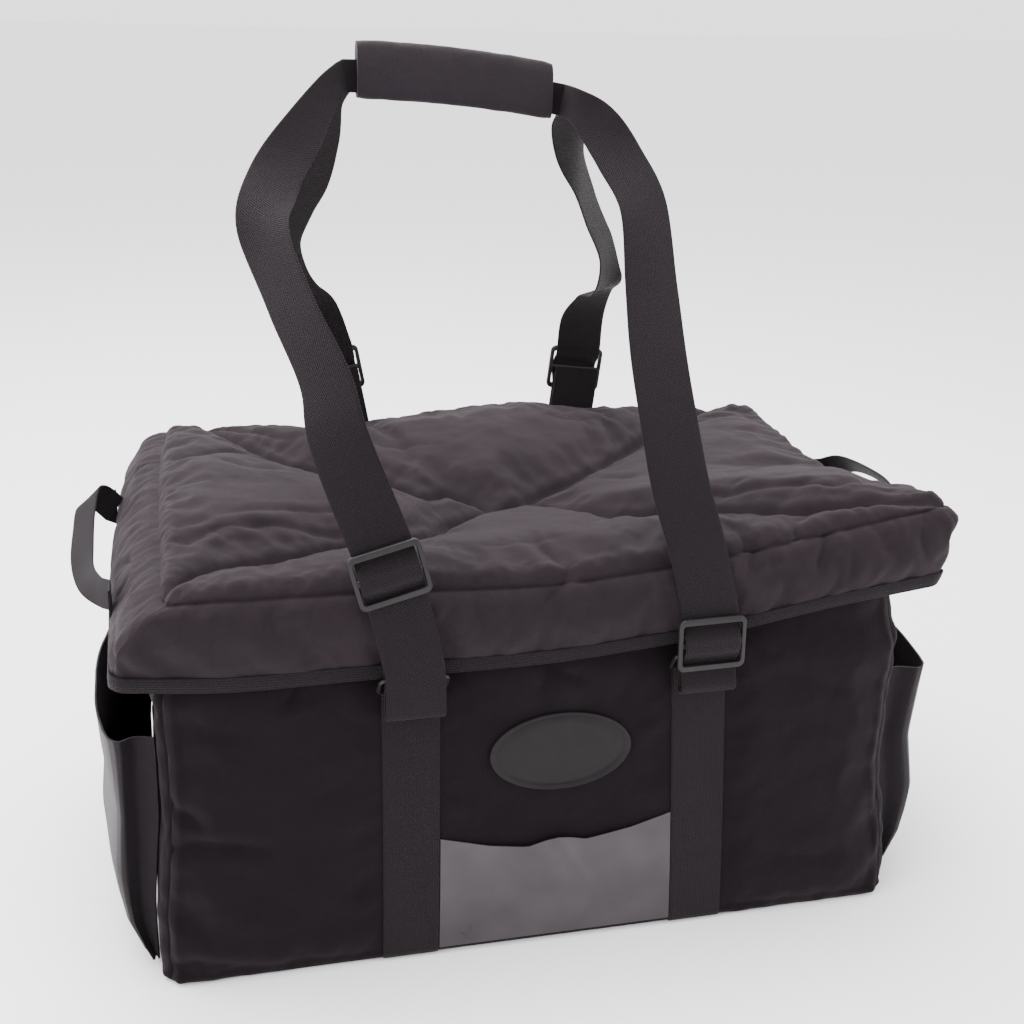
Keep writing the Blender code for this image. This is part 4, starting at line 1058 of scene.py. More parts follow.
SMALL_CREASES = (
    (0.0030, 0.0035, 1, ((-0.241, 0.192), (-0.201, 0.156), (-0.181, 0.130), (-0.173, 0.140))),
    (0.0034, 0.0040, 1, ((-0.158, -0.090), (-0.188, -0.090), (-0.218, -0.092), (-0.247, -0.099),
                         (-0.273, -0.109), (-0.297, -0.121))),
    (0.0024, 0.0040, 1, ((-0.159, -0.061), (-0.198, -0.067), (-0.229, -0.075), (-0.257, -0.083))),
    (0.0026, 0.0038, 1, ((-0.108, -0.097), (-0.075, -0.104), (-0.042, -0.123))),
    (0.0030, 0.0038, 1, ((0.157, -0.108), (0.194, -0.127), (0.238, -0.146), (0.286, -0.163))),
    (0.0050, 0.0055, 1, ((-0.003, -0.207), (0.003, -0.197), (-0.003, -0.187), (-0.012, -0.156))),
    (0.0044, 0.0050, 1, ((0.147, -0.207), (0.145, -0.190), (0.138, -0.165))),
    (0.0040, 0.0048, 1, ((0.190, -0.208), (0.190, -0.200), (0.204, -0.174))),
    (0.0028, 0.0040, 2, ((0.228, -0.012), (0.264, -0.034), (0.296, -0.018))),
    (0.0022, 0.0050, 2, ((0.084, 0.024), (0.128, -0.012))),
    (0.0024, 0.0050, 2, ((0.170, -0.074), (0.249, -0.026), (0.270, -0.066))),
    (0.0022, 0.0060, 2, ((-0.262, 0.060), (-0.225, 0.030), (-0.180, 0.020))),
    (0.0020, 0.0060, 2, ((-0.130, 0.150), (-0.090, 0.110), (-0.030, 0.100))),
    (0.0020, 0.0060, 2, ((0.060, 0.150), (0.110, 0.140), (0.160, 0.160))),
    (0.0018, 0.0060, 2, ((-0.100, -0.150), (-0.050, -0.165), (0.020, -0.150))),
)
# Folds of the skirt: x and z on its front, then y and z on its ends
SKIRT_FRONT_FOLDS = (
    (0.0040, 0.0045, 1, ((-0.002, 0.334), (-0.004, 0.325), (-0.011, 0.319), (-0.028, 0.309))),
    (0.0036, 0.0040, 1, ((0.214, 0.356), (0.210, 0.345), (0.203, 0.322))),
    (0.0034, 0.0040, 1, ((0.154, 0.346), (0.151, 0.338), (0.143, 0.324))),
    (0.0024, 0.0055, 2, ((-0.230, 0.330), (-0.222, 0.305), (-0.236, 0.285))),
    (0.0022, 0.0055, 2, ((-0.075, 0.322), (-0.066, 0.300), (-0.080, 0.284))),
    (0.0024, 0.0060, 2, ((0.070, 0.332), (0.084, 0.312), (0.074, 0.292))),
    (0.0028, 0.0050, 1, ((0.300, 0.366), (0.292, 0.350), (0.300, 0.326))),
)
SKIRT_END_FOLDS = (
    (0.0040, 0.0050, 1, ((-0.112, 0.338), (-0.098, 0.329), (-0.069, 0.316))),
    (0.0024, 0.0060, 2, ((0.020, 0.335), (0.034, 0.312), (0.026, 0.292))),
    (0.0028, 0.0055, 1, ((0.110, 0.345), (0.118, 0.325), (0.104, 0.300))),
    (0.0030, 0.0045, 1, ((-0.203, 0.292), (-0.192, 0.303), (-0.152, 0.310))),
)


def smooth_lookup(table, position, column):
    """Value of a table's column along a smooth curve through its rows."""
    spots = [row[0] for row in table]
    index = 0
    while index < len(spots) - 2 and position > spots[index + 1]:
        index += 1
    low, high = table[index], table[index + 1]
    before = table[max(index - 1, 0)]
    after = table[min(index + 2, len(table) - 1)]
    span = high[0] - low[0]
    share = min(1.0, max(0.0, (position - low[0]) / span))
    start = (high[column] - before[column]) / max(1e-9, high[0] - before[0]) * span
    end = (after[column] - low[column]) / max(1e-9, after[0] - low[0]) * span
    square, cube = share * share, share ** 3
    return ((2 * cube - 3 * square + 1) * low[column] + (cube - 2 * square + share) * start
            + (3 * square - 2 * cube) * high[column] + (cube - square) * end)


def edge_height(point):
    """Height of the seam between the lid's top panel and skirt at a point of the outline."""
    front = smooth_lookup(LID_EDGE, point.x, 1)
    back = smooth_lookup(LID_EDGE, point.x, 2)
    blend = max(0.0, (1 - point.y) / 2) ** EDGE_BLEND_POWER
    dip = smooth_lookup(LID_ENDS, point.y, 3) * max(0.0, point.x) ** 2
    return SEAM_HEIGHT * (back + (front - back) * blend - dip)


def skirt_sides(point, drop, inset=0.0):
    """Distances of the skirt's sides at a share of its drop."""
    flare = 1 + smooth_lookup(LID_EDGE, point.x, 4) * drop
    left_end = HALF_LENGTH * smooth_lookup(LID_ENDS, point.y, 1)
    right_end = HALF_LENGTH * smooth_lookup(LID_ENDS, point.y, 2)
    halves = (left_end, right_end, HALF_DEPTH * flare, HALF_DEPTH)
    return [half * smooth_lookup(SKIRT_SECTIONS, drop, column) - inset
            for column, half in enumerate(halves, start=1)]


def skirt_point(point, drop, inset=0.0, lower=0.0):
    """Point of the lid's skirt at a share of its drop."""
    fall = SKIRT_DROP * smooth_lookup(LID_EDGE, point.x, 3) * drop
    return place(point, skirt_sides(point, drop, inset), edge_height(point) - fall - lower)


def panel_height(point, share):
    """Height of the top panel under its puffs."""
    middle = SEAM_HEIGHT - LID_SAG
    rise = 1 - (1 - share) ** PANEL_RISE_POWER
    return middle + (edge_height(point) - middle) * rise


def lid_panel(s, t):
    """Grid function of the lid's top panel."""
    share = max(abs(s), abs(t))
    point = rounded_border(s, t, LID_CORNER)
    return place(point, [side * share for side in skirt_sides(point, 0.0)], panel_height(point, share))


def lid_lining(share):
    """Ring function of the lining under the top panel at a share of the way out."""
    def ring(point):
        sides = [side * share for side in skirt_sides(point, 0.0, SKIRT_WALL)]
        return place(point, sides, panel_height(point, share) - PADDING)
    return ring


def skirt_ring(drop, inset=0.0):
    """Ring function of the skirt at a share of its drop."""
    def ring(point):
        return skirt_point(point, drop, inset)
    return ring


def main_crease_distance(spots):
    """Distances of the top panel's points from its nearest main crease."""
    return numpy.min([line_distance(spots[:, :2], row[3])[0] for row in MAIN_CREASES], axis=0)


# The lid is the body's black nylon painted about twice as light: painted light standing for the lid's top
# catching more light from above.
LID_NYLON_PAINTED_LIGHTER = woven_nylon("lid_nylon", (0.0042, 0.0027, 0.0036), (0.0112, 0.0074, 0.0096),
                        0.0008, 0.6, 0.72, 0.12)
skirt_drops = [step / 12 for step in range(1, 13)]
lid_rings = [skirt_ring(drop) for drop in skirt_drops]
lid_rings += [skirt_ring(drop, SKIRT_WALL) for drop in (1.0, 0.7, 0.4)]
lid_rings += [lid_lining(share) for share in (0.98, 0.9, 0.7, 0.45, 0.2)]
lid = pan_mesh("bag_lid", LID_SPREAD, LID_CORNER, lid_rings, LID_NYLON_PAINTED_LIGHTER, lid_panel)

# How far each point is from the seam round the top: below zero on the panel, above on the skirt
lid_columns, lid_rows, lid_bias = LID_SPREAD
from_seam = [-min((1 - abs(s)) * HALF_LENGTH, (1 - abs(t)) * HALF_DEPTH)
             for t in spread(lid_rows, lid_bias) for s in spread(lid_columns, lid_bias)]
panel_count = len(from_seam)
lid_border = len(border_steps(LID_SPREAD))
from_seam += [drop * SKIRT_DROP for drop in skirt_drops for step in range(lid_border)]
from_seam += [1.0] * (len(lid.data.vertices) - len(from_seam))
seam_layer = lid.data.attributes.new("from_seam", "FLOAT", "POINT")
seam_layer.data.foreach_set("value", from_seam)

spots, normals = point_array(lid.data)
from_crease = main_crease_distance(spots)
from_seam = numpy.array(from_seam)
on_panel = numpy.arange(len(spots)) < panel_count
puff = LID_PUFF * (1 - numpy.exp(-from_crease / CREASE_REACH)) * (1 - numpy.exp(from_seam / EDGE_REACH))
spots[on_panel, 2] += puff[on_panel]
lid.data.vertices.foreach_set("co", spots.ravel())
lid.data.update()
lid_pins = numpy.ones(len(spots))
near_seam = 1 - abs(from_seam) / 0.010
lid_pins[on_panel] = numpy.clip(numpy.maximum(1 - from_crease / 0.014, near_seam), 0, 1)[on_panel]
on_skirt = (from_seam > 0) & (from_seam < SKIRT_DROP - 0.008)
lid_pins[on_skirt] = numpy.clip(near_seam, 0, 1)[on_skirt]
settle_cloth(lid, lid_pins, 2.0, 0.03, 16, 0.006)
refine(lid)

spots, normals = point_array(lid.data)
from_seam = numpy.empty(len(spots))
lid.data.attributes["from_seam"].data.foreach_get("value", from_seam)
on_panel = from_seam < 0
on_skirt = (from_seam >= 0) & (from_seam < SKIRT_DROP)
outer = on_panel | on_skirt
depth = numpy.zeros(len(spots))
depth[on_panel] = crease_depth(spots[on_panel][:, :2], MAIN_CREASES + SMALL_CREASES)
on_front = on_skirt & (normals[:, 1] < -0.5)
on_end = on_skirt & (abs(normals[:, 0]) > 0.6)
depth[on_front] = crease_depth(spots[on_front][:, [0, 2]], SKIRT_FRONT_FOLDS)
depth[on_end] = crease_depth(spots[on_end][:, 1:], SKIRT_END_FOLDS)
beside_seam = abs(from_seam)
puckers = crumple(spots[outer] * (1.0, 1.0, 0.5), PUCKER_SIZE, 1.0)
seam_roll = numpy.exp(-((beside_seam[outer] - SEAM_ROLL_PLACE) / SEAM_ROLL_WIDTH) ** 2)
depth[outer] -= crumple(spots[outer], LID_CRUMPLE_SIZE, LID_CRUMPLE_HEIGHT)
depth[outer] -= puckers * PUCKER_HEIGHT * numpy.exp(-beside_seam[outer] / PUCKER_REACH)
depth[outer] += SEAM_DEPTH * numpy.exp(-beside_seam[outer] / SEAM_WIDTH)
depth[outer] -= (SEAM_ROLL_HEIGHT + 0.0010 * puckers) * seam_roll
depth *= numpy.clip((SKIRT_DROP - TAPE_MARGIN - from_seam) / TAPE_MARGIN, 0, 1)
press_in(lid.data, depth * outer)
lid.data.attributes.remove(lid.data.attributes["from_seam"])
flat_unwrap(lid)
finish_piece(lid, "lid_nylon", "lid")

# Hem tape
# Ribbed woven tape folded over the skirt's lower edge, outside and in.
BINDING_TOP = 1 - BINDING_WIDTH / SKIRT_DROP
# As on the webbing, the dark colour is painted shade in the rib gaps and the light colour a painted highlight
# on the rib tops.
TAPE_FINISH = webbing_finish("binding_tape", (0.0006, 0.0005, 0.0006), (0.0080, 0.0062, 0.0076),
                             0.0019, 0.6, 0.08)


def tape_mesh():
    """Folded tape round the hem, its UV map in metres along and across."""
    beside = 2 * GAP
    outside = -(beside + BINDING_THICKNESS)
    under = 3 * GAP
    profile = [
        (BINDING_TOP, outside + 0.0004, 0.0), (BINDING_TOP + 0.02, outside, 0.0),
        (0.93, outside - 0.0004, 0.0),
        (1.0, outside, under), (1.0, outside + 0.0008, under + BINDING_THICKNESS * 0.8),
        (1.0, SKIRT_WALL / 2, under + BINDING_THICKNESS), (1.0, SKIRT_WALL, under + BINDING_THICKNESS),
        (1.0, SKIRT_WALL, under), (1.0, -beside, under), (BINDING_TOP, -beside, 0.0),
    ]
    border = [(-1 + 2 * step / 150, -1) for step in range(150)]
    border += [(1, -1 + 2 * step / 96) for step in range(96)]
    border += [(1 - 2 * step / 150, 1) for step in range(150)]
    border += [(-1, 1 - 2 * step / 96) for step in range(96)]
    outline = [rounded_border(s, t, LID_CORNER) for s, t in border]
    count = len(outline)
    rings = [[skirt_point(point, drop, inset, lower) for point in outline] for drop, inset, lower in profile]
    runs = [0.0]
    for index in range(count):
        runs.append(runs[-1] + (rings[0][(index + 1) % count] - rings[0][index]).length)
    points = [spot for ring in rings for spot in ring]
    faces = []
    corners = []
    for ring in range(len(rings)):
        following_ring = (ring + 1) % len(rings)
        for index in range(count):
            following = (index + 1) % count
            faces.append((ring * count + index, ring * count + following,
                          following_ring * count + following, following_ring * count + index))
            up = ring * 0.003
            corners += [(up, runs[index]), (up, runs[index + 1]),
                        (up + 0.003, runs[index + 1]), (up + 0.003, runs[index])]
    return make_piece("lid_binding", points, faces, TAPE_FINISH, corners, CLOTH_EDGE)


finish_piece(tape_mesh(), "binding_tape", "lid_binding")

# Carrying straps
# Two long bands of the same webbing, each from its left ring through a slider, up through the
# handle wrap and down to its right ring. They stand in the curves they were folded in.
SLACK_RADIUS = 0.005
SLACK_DROP = 0.010
RING_RISE = 0.0165
RING_CORNER = 0.004
SIDE_PLAY = 0.0012
BUCKLE_HEIGHT = 0.045
BUCKLE_BAR = 0.0055
BUCKLE_SIDE = 0.004
BUCKLE_THICKNESS = 0.004
BUCKLE_CENTRE_BAR = 0.005
BUCKLE_CORNER = 0.006
BUCKLE_EDGE = 0.0012
WEAVE_MARGIN = 0.1
WRAP_LENGTH = 0.160
WRAP_TALL = 0.045
WRAP_THICK = 0.019
WRAP_X = -0.048
WRAP_Z = 0.686
WRAP_SLOPE = -0.095
WRAP_ARCH = 0.003
GATHERED_SHARE = 0.55
GATHERED_DROP = 0.005
GATHERED_LEAN = 0.1
REACH_X = 0.220
REACH_Y = 0.215
RISE = 0.690
WRAP_STATIONS = (-1.12, -1.03, -0.5, 0.0, 0.5, 1.03, 1.12)
LID_FACE = max(row[3] for row in SKIRT_SECTIONS) * HALF_DEPTH
TUCKED_DISTANCE = LID_FACE + GAP + WEBBING_THICKNESS / 2
RING_TOP_DISTANCE = TUCKED_DISTANCE + WEBBING_THICKNESS / 2 + GAP + RING_WIRE / 2
OUTER_DISTANCE = RING_TOP_DISTANCE + RING_WIRE / 2 + 2 * GAP + WEBBING_THICKNESS / 2
BUCKLE_WEAVE = (BUCKLE_THICKNESS + WEBBING_THICKNESS) / 2 + 2 * GAP
BUCKLE_DISTANCE = OUTER_DISTANCE + BUCKLE_WEAVE
BUCKLE_WINDOW = (BUCKLE_HEIGHT - BUCKLE_CENTRE_BAR) / 2 - BUCKLE_BAR

STRAP_ENDS = {
    # name: webbing, side, buckle height, lean
    "front_left": ("left", -1, 0.351, -0.28),
    "front_right": ("right", -1, 0.274, -0.04),
    "back_left": ("left", 1, 0.394, -0.20),
    "back_right": ("right", 1, 0.388, 0.12),
}
STRAP_RUNS = {
    # x, y and z as shares of the reaches and rise, direction across, share of the width that shows
    "front_left": (
        (-0.782, -0.930, 0.648, (0.90, -0.38, 0.22), 1.00),
        (-0.815, -0.830, 0.707, (0.72, -0.64, 0.27), 1.00),
        (-0.905, -0.680, 0.778, (0.62, -0.76, 0.15), 1.00),
        (-0.968, -0.500, 0.848, (0.55, -0.80, -0.20), 1.00),
        (-0.915, -0.330, 0.895, (0.52, -0.62, -0.55), 0.90),
        (-0.795, -0.200, 0.944, (0.45, -0.20, -0.85), 0.75),
        (-0.695, -0.085, 0.982, (0.25, 0.00, -0.97), 0.60),
    ),
    "front_right": (
        (0.468, -0.990, 0.507, (0.98, 0.00, 0.15), 1.00),
        (0.418, -0.920, 0.572, (0.98, -0.05, 0.15), 1.00),
        (0.395, -0.820, 0.640, (0.98, 0.00, 0.12), 1.00),
        (0.386, -0.690, 0.710, (0.98, 0.05, 0.10), 1.00),
        (0.398, -0.540, 0.780, (0.93, 0.25, 0.15), 1.00),
        (0.405, -0.385, 0.862, (0.75, 0.50, 0.40), 1.00),
        (0.350, -0.255, 0.912, (0.55, 0.50, 0.65), 0.92),
        (0.285, -0.160, 0.950, (0.45, 0.15, 0.85), 0.75),
        (0.222, -0.085, 0.968, (0.10, 0.00, 1.00), 0.60),
    ),
    "back_left": (
        (-0.645, 0.962, 0.662, (0.95, 0.00, 0.30), 1.00),
        (-0.735, 0.870, 0.692, (0.92, 0.10, 0.30), 1.00),
        (-0.795, 0.755, 0.726, (0.92, 0.20, 0.30), 1.00),
        (-0.835, 0.620, 0.775, (0.94, 0.05, 0.20), 1.00),
        (-0.800, 0.480, 0.828, (0.93, -0.15, 0.05), 1.00),
        (-0.745, 0.340, 0.877, (0.90, -0.25, -0.20), 1.00),
        (-0.700, 0.200, 0.930, (0.70, 0.00, -0.70), 0.82),
        (-0.672, 0.095, 0.974, (0.40, 0.06, -0.92), 0.62),
    ),
    "back_right": (
        (0.592, 0.960, 0.645, (0.98, 0.08, 0.00), 1.00),
        (0.612, 0.860, 0.685, (0.86, 0.46, 0.00), 1.00),
        (0.628, 0.740, 0.708, (0.70, 0.70, 0.05), 1.00),
        (0.582, 0.620, 0.762, (0.50, 0.82, 0.15), 1.00),
        (0.468, 0.480, 0.822, (0.42, 0.80, 0.35), 1.00),
        (0.366, 0.325, 0.874, (0.40, 0.70, 0.50), 0.95),
        (0.282, 0.200, 0.918, (0.50, 0.10, 0.75), 0.80),
        (0.212, 0.095, 0.962, (0.20, -0.06, 1.00), 0.62),
    ),
}


def smooth_frames(frames, steps=10):
    """Frames read from a smooth curve through the given ones."""
    result = []
    last = len(frames) - 1
    for index in range(last):
        group = [frames[max(index - 1, 0)], frames[index],
                 frames[index + 1], frames[min(index + 2, last)]]
        for step in range(steps):
            share = step / steps
            weights = (-0.5 * share + share ** 2 - 0.5 * share ** 3,
                       1 - 2.5 * share ** 2 + 1.5 * share ** 3,
                       0.5 * share + 2 * share ** 2 - 1.5 * share ** 3,
                       -0.5 * share ** 2 + 0.5 * share ** 3)
            centre = sum((weight * item[0] for weight, item in zip(weights, group)), Vector())
            across = sum((weight * item[1] for weight, item in zip(weights, group)), Vector())
            width = sum(weight * item[2] for weight, item in zip(weights, group))
            result.append((centre, across.normalized(), width))
    result.append(frames[last])
    return result


def strap_x(end, height):
    """Middle of a strap between its ring and just above its buckle."""
    webbing, side, buckle_z, lean = STRAP_ENDS[end]
    above = max(0.0, height - RING_HEIGHT - RING_RISE)
    return webbing_x(webbing, side, RING_HEIGHT) + lean * above ** 2 / (above + WEBBING_WIDTH / 2)


def strap_lean(end, height):
    """Sideways run of a strap for each metre of height, near its buckle."""
    step = WEBBING_WIDTH / 4
    return (strap_x(end, height + step) - strap_x(end, height - step)) / (2 * step)


def weave_offset(distance):
    """How far the strap stands in front of its plane at a distance from the buckle's middle."""
    start = BUCKLE_CENTRE_BAR / 2 + BUCKLE_WINDOW * (1 - WEAVE_MARGIN)
    finish = BUCKLE_CENTRE_BAR / 2 + BUCKLE_WINDOW * WEAVE_MARGIN
    return 2 * BUCKLE_WEAVE * ease((start - abs(distance)) / (start - finish))


def strap_end_frames(end):
    """Frames from the tucked end, through the ring and the buckle, to just above the buckle."""
    webbing, side, buckle_z, lean = STRAP_ENDS[end]
    fold_z = RING_HEIGHT - SLACK_DROP
    tucked_top = buckle_z + BUCKLE_CENTRE_BAR / 2
    stations = [(TUCKED_DISTANCE, tucked_top + (fold_z - tucked_top) * step / 8) for step in range(9)]
    for step in range(1, 17):
        angle = math.radians(180 * step / 16)
        stations.append((TUCKED_DISTANCE + SLACK_RADIUS * (1 - math.cos(angle)),
                         fold_z - SLACK_RADIUS * math.sin(angle)))
    buckle_bottom = buckle_z - BUCKLE_HEIGHT / 2
    loop_distance = TUCKED_DISTANCE + 2 * SLACK_RADIUS
    for step in range(1, 9):
        share = step / 8
        stations.append((loop_distance + (OUTER_DISTANCE - loop_distance) * ease(share),
                         fold_z + (buckle_bottom - fold_z) * share))
    for step in range(1, 41):
        distance = BUCKLE_HEIGHT * (step / 40 - 0.5)
        stations.append((OUTER_DISTANCE + weave_offset(distance), buckle_z + distance))
    return [(Vector((strap_x(end, height), side * distance, height)),
             Vector((1, 0, -strap_lean(end, height))).normalized(), WEBBING_WIDTH)
            for distance, height in stations]


def wrap_point(along, side):
    """Middle of a strap inside the handle wrap, along from -1 to 1."""
    x = WRAP_X + along * WRAP_LENGTH / 2
    z = WRAP_Z + WRAP_SLOPE * along * WRAP_LENGTH / 2 + WRAP_ARCH * (1 - along * along)
    return Vector((x, side * (WEBBING_THICKNESS / 2 + 2 * GAP), z - GATHERED_DROP))


def strap_run(end):
    """Station frames of a strap's free run, upwards."""
    return [(Vector((x * REACH_X, y * REACH_Y, z * RISE)), Vector(across).normalized(), WEBBING_WIDTH * share)
            for x, y, z, across, share in STRAP_RUNS[end]]


def strap_frames(name, side):
    """Frames of a whole strap from its left tucked end to its right one."""
    left_end = strap_end_frames(name + "_left")
    right_end = strap_end_frames(name + "_right")
    inside = []
    for along in WRAP_STATIONS:
        across = Vector((GATHERED_LEAN if along < 0 else -GATHERED_LEAN, 0, -1))
        inside.append((wrap_point(along, side), across.normalized(), WEBBING_WIDTH * GATHERED_SHARE))
    right_run = [(centre, -across, width) for centre, across, width in reversed(strap_run(name + "_right"))]
    right_down = [(centre, -across, width) for centre, across, width in reversed(right_end)]
    left_free = smooth_frames([left_end[-1]] + strap_run(name + "_left") + [inside[0]])
    right_free = smooth_frames([inside[-1]] + right_run + [right_down[0]])
    return left_end[:-1] + left_free + inside[1:-1] + right_free + right_down[1:]


for name, side in (("front", -1), ("back", 1)):
    strap = band_mesh("strap_" + name, strap_frames(name, side), WEBBING_THICKNESS, WEBBING_FINISH)
    finish_piece(strap, "webbing", "strap_" + name)

# Rings and sliders
# Moulded nylon hardware: rectangular rings held by the sewn webbing, and three-bar sliders that the
# straps are woven through, grey with fine mould grain.
MOULDED_EDGE = 40
PLASTIC = rubber_finish("moulded_plastic", (0.0060, 0.0045, 0.0056), (0.0105, 0.0085, 0.0100), 0.38, 0.22)


def ring_mesh(end):
    """Rectangular wire ring between the sewn webbing and the strap."""
    webbing, side, buckle_z, lean = STRAP_ENDS[end]
    lower = Vector((webbing_x(webbing, side, RING_HEIGHT), side * ring_bar_distance(side), RING_HEIGHT))
    upper = Vector((lower.x, side * RING_TOP_DISTANCE, RING_HEIGHT + RING_RISE))
    up = (upper - lower).normalized()
    face = Vector((1, 0, 0)).cross(up)
    half_wide = WEBBING_WIDTH / 2 + SIDE_PLAY + RING_WIRE / 2
    half_tall = (upper - lower).length / 2
    points = []
    for sign_x, sign_z, start in ((1, 1, 0), (-1, 1, 90), (-1, -1, 180), (1, -1, 270)):
        for step in range(9):
            angle = math.radians(start + 90 * step / 8)
            direction = Vector((1, 0, 0)) * math.cos(angle) + up * math.sin(angle)
            centre = (lower + upper) / 2 + Vector((sign_x * (half_wide - RING_CORNER), 0, 0))
            centre += up * sign_z * (half_tall - RING_CORNER) + direction * RING_CORNER
            for turn in range(16):
                spin = 2 * math.pi * turn / 16
                points.append(centre + (direction * math.cos(spin) + face * math.sin(spin)) * RING_WIRE / 2)
    count = len(points) // 16
    faces = []
    for index in range(count):
        following = (index + 1) % count
        for turn in range(16):
            after = (turn + 1) % 16
            faces.append((index * 16 + turn, index * 16 + after,
                          following * 16 + after, following * 16 + turn))
    return points, faces


def slider_mesh(end):
    """Slider frame and centre bar in one mesh, with rounded edges."""
    webbing, side, buckle_z, lean = STRAP_ENDS[end]
    window_x = WEBBING_WIDTH / 2 + SIDE_PLAY
    window_z = BUCKLE_HEIGHT / 2 - BUCKLE_BAR
    outer_x = window_x + BUCKLE_SIDE
    outer_z = BUCKLE_HEIGHT / 2
    tilt = Matrix.Rotation(math.atan(strap_lean(end, buckle_z)), 3, "Y")
    middle = Vector((strap_x(end, buckle_z), side * BUCKLE_DISTANCE, buckle_z))

    def loop(half_x, half_z, corner, depth):
        spots = []
        for sign_x, sign_z, start in ((1, 1, 0), (-1, 1, 90), (-1, -1, 180), (1, -1, 270)):
            for step in range(9):
                angle = math.radians(start + 90 * step / 8)
                spots.append(Vector((sign_x * (half_x - corner) + corner * math.cos(angle), depth,
                                     sign_z * (half_z - corner) + corner * math.sin(angle))))
        return spots

    half = BUCKLE_THICKNESS / 2
    loops = []
    for step in range(7):
        angle = math.radians(180 * step / 6)
        depth = -math.cos(angle) * half
        grow = BUCKLE_EDGE * (1 - math.sin(angle))
        loops.append(loop(outer_x - grow, outer_z - grow, BUCKLE_CORNER - grow, depth))
    for depth in (half, half * 0.5, -half * 0.5, -half):
        grow = 0.0 if abs(depth) < half else 0.0005
        loops.append(loop(window_x + grow, window_z + grow, 0.002 + grow, depth))
    points = [tilt @ spot + middle for ring in loops for spot in ring]
    count = len(loops[0])
    faces = []
    for ring in range(len(loops)):
        after = (ring + 1) % len(loops)
        for index in range(count):
            following = (index + 1) % count
            faces.append((ring * count + index, ring * count + following,
                          after * count + following, after * count + index))
    bar_z = BUCKLE_CENTRE_BAR / 2
    start = len(points)
    for x in (-window_x - 0.001, window_x + 0.001):
        for turn in range(16):
            spin = 2 * math.pi * turn / 16
            y = math.copysign(abs(math.cos(spin)) ** 0.6, math.cos(spin)) * half * 0.8
            z = math.copysign(abs(math.sin(spin)) ** 0.6, math.sin(spin)) * bar_z
            points.append(tilt @ Vector((x, y, z)) + middle)
    for turn in range(16):
        after = (turn + 1) % 16
        faces.append((start + turn, start + after, start + 16 + after, start + 16 + turn))
    faces.append(tuple(start + turn for turn in range(16)))
    faces.append(tuple(start + 16 + turn for turn in range(16)))
    return points, faces


for end in STRAP_ENDS:
    ring = make_piece("ring_" + end, *ring_mesh(end), PLASTIC, sharp=MOULDED_EDGE)
    finish_piece(ring, "hardware_plastic", "ring_" + end)
    slider = make_piece("tri_glide_" + end, *slider_mesh(end), PLASTIC, sharp=MOULDED_EDGE)
    finish_piece(slider, "hardware_plastic", "tri_glide_" + end)

# Handle wrap
# A padded nylon sleeve closed round both straps, open at both ends where they run out.
WRAP_NYLON = woven_nylon("wrap_nylon", (0.0060, 0.0048, 0.0060), (0.0135, 0.0112, 0.0136),
                         0.0008, 0.5, 0.68, 0.14)
WRAP_RING_STEPS = 56
WRAP_STATION_COUNT = 61
WRAP_SIDE_BEND = 0.62
WRAP_TOP_BEND = 0.8


def wrap_mesh():
    """Sleeve through rings of points along the wrap, open at both ends."""
    steps = WRAP_RING_STEPS
    stations = [-1 + 2 * step / (WRAP_STATION_COUNT - 1) for step in range(WRAP_STATION_COUNT)]

    def ring(along, half_thick, half_tall, rise, puffed):
        centre = wrap_point(along, 0) + Vector((0, 0, rise))
        spots = []
        for step in range(steps):
            angle = 2 * math.pi * step / steps
            y = math.copysign(abs(math.cos(angle)) ** WRAP_SIDE_BEND, math.cos(angle)) * half_thick
            z = math.copysign(abs(math.sin(angle)) ** WRAP_TOP_BEND, math.sin(angle)) * half_tall
            swell = 1.0
            if puffed:
                pinch = math.exp(-((1 - abs(along)) / 0.05) ** 2)
                spot = Vector((along * 6, math.cos(angle) * 2, math.sin(angle) * 2))
                swell = 1 - 0.10 * pinch + 0.05 * noise.noise(spot)
            spots.append(centre + Vector((0, y * swell, z * (1 + (swell - 1) * 0.4))))
        return spots

    slot_thick = WEBBING_THICKNESS + 4 * GAP
    slot_tall = WEBBING_WIDTH * GATHERED_SHARE / 2 + 2 * GAP
    rings = [ring(along, WRAP_THICK / 2, WRAP_TALL / 2, GATHERED_DROP, True) for along in stations]
    rings += [ring(along, slot_thick, slot_tall, 0.0, False) for along in (1.0, 0.5, 0.0, -0.5, -1.0)]
    points = [spot for item in rings for spot in item]
    faces = []
    for index in range(len(rings)):
        after = (index + 1) % len(rings)
        for step in range(steps):
            following = (step + 1) % steps
            faces.append((index * steps + step, index * steps + following,
                          after * steps + following, after * steps + step))
    return points, faces


wrap = make_piece("handle_wrap", *wrap_mesh(), WRAP_NYLON, sharp=MOULDED_EDGE)
flat_unwrap(wrap)
finish_piece(wrap, "wrap_nylon", "handle_wrap")

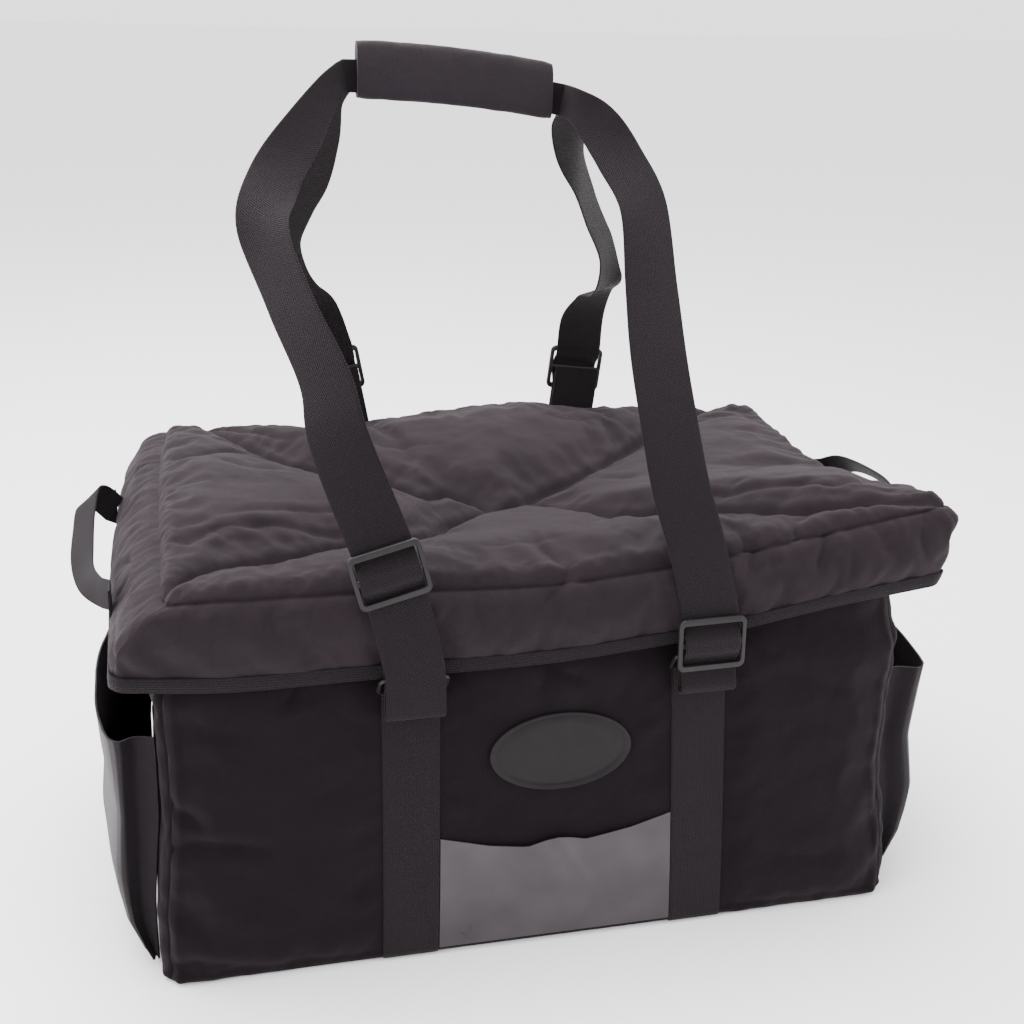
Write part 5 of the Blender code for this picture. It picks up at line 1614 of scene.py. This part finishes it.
# Side handles
# Loops of narrow webbing sewn flat to both ends of the lid's skirt, which bow outwards between.
SIDE_WEBBING_WIDTH = 0.025
SIDE_HANDLE_LENGTH = 0.200
SIDE_HANDLE_REACH = 0.024
SIDE_HANDLE_Y = -0.020
SIDE_HANDLE_Z = 0.309
SIDE_HANDLE_TAB = 0.022
SIDE_HANDLE_TILT = (0.75, 0.66)
SIDE_HANDLE_RISE = 0.030
SIDE_HANDLE_RUNS = {
    # along, out, up, tilt
    "left": ((-1.00, 0.00, 0.00, 0.00), (-0.84, 0.36, -0.10, 0.15), (-0.55, 0.82, -0.08, 0.60),
             (-0.15, 1.00, 0.10, 1.00), (0.35, 1.00, 0.42, 1.00), (0.72, 0.88, 0.70, 1.00),
             (0.92, 0.50, 0.50, 0.55), (1.00, 0.00, 0.00, 0.00)),
    "right": ((-1.00, 0.00, 0.00, 0.00), (-0.84, 0.50, 0.22, 0.20), (-0.58, 0.86, 0.90, 0.70),
              (-0.10, 1.00, 1.00, 1.00), (0.45, 0.96, 0.80, 1.00), (0.80, 0.70, 0.25, 0.50),
              (1.00, 0.00, 0.00, 0.00)),
}


def side_handle_frames(name):
    """Frames of a side handle from its front tab to its back tab."""
    side = -1 if name == "left" else 1
    half = SIDE_HANDLE_LENGTH / 2
    tree = BVHTree.FromObject(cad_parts["side_handle_" + name], bpy.context.evaluated_depsgraph_get())
    outside = side * 0.6
    tabs = []
    for along in (-half - SIDE_HANDLE_TAB / 2, half + SIDE_HANDLE_TAB / 2):
        start = Vector((outside, SIDE_HANDLE_Y + along, SIDE_HANDLE_Z))
        spot = tree.ray_cast(start, Vector((-side, 0, 0)))[0]
        tabs.append(abs(spot.x) - WEBBING_THICKNESS / 2)
    upright = Vector((0, 0, 1))
    tilted = Vector((-side * SIDE_HANDLE_TILT[0], 0, SIDE_HANDLE_TILT[1]))

    def station(along, out, up, tilt):
        blend = min(1.0, max(0.0, (along + half) / (2 * half)))
        distance = tabs[0] + (tabs[1] - tabs[0]) * blend + out
        return (Vector((side * distance, SIDE_HANDLE_Y + along, SIDE_HANDLE_Z + up)),
                (upright * (1 - tilt) + tilted * tilt).normalized(), SIDE_WEBBING_WIDTH)

    loop = [station(along * half, out * SIDE_HANDLE_REACH, up * SIDE_HANDLE_RISE, tilt)
            for along, out, up, tilt in SIDE_HANDLE_RUNS[name]]
    first = [station(-half - SIDE_HANDLE_TAB * (1 - step / 3), 0.0, 0.0, 0.0) for step in range(3)]
    last = [station(half + SIDE_HANDLE_TAB * step / 3, 0.0, 0.0, 0.0) for step in range(1, 4)]
    return first + smooth_frames(loop) + last


for name in ("left", "right"):
    handle = band_mesh("side_handle_" + name, side_handle_frames(name), WEBBING_THICKNESS, WEBBING_FINISH)
    finish_piece(handle, "webbing", "side_handle_" + name)
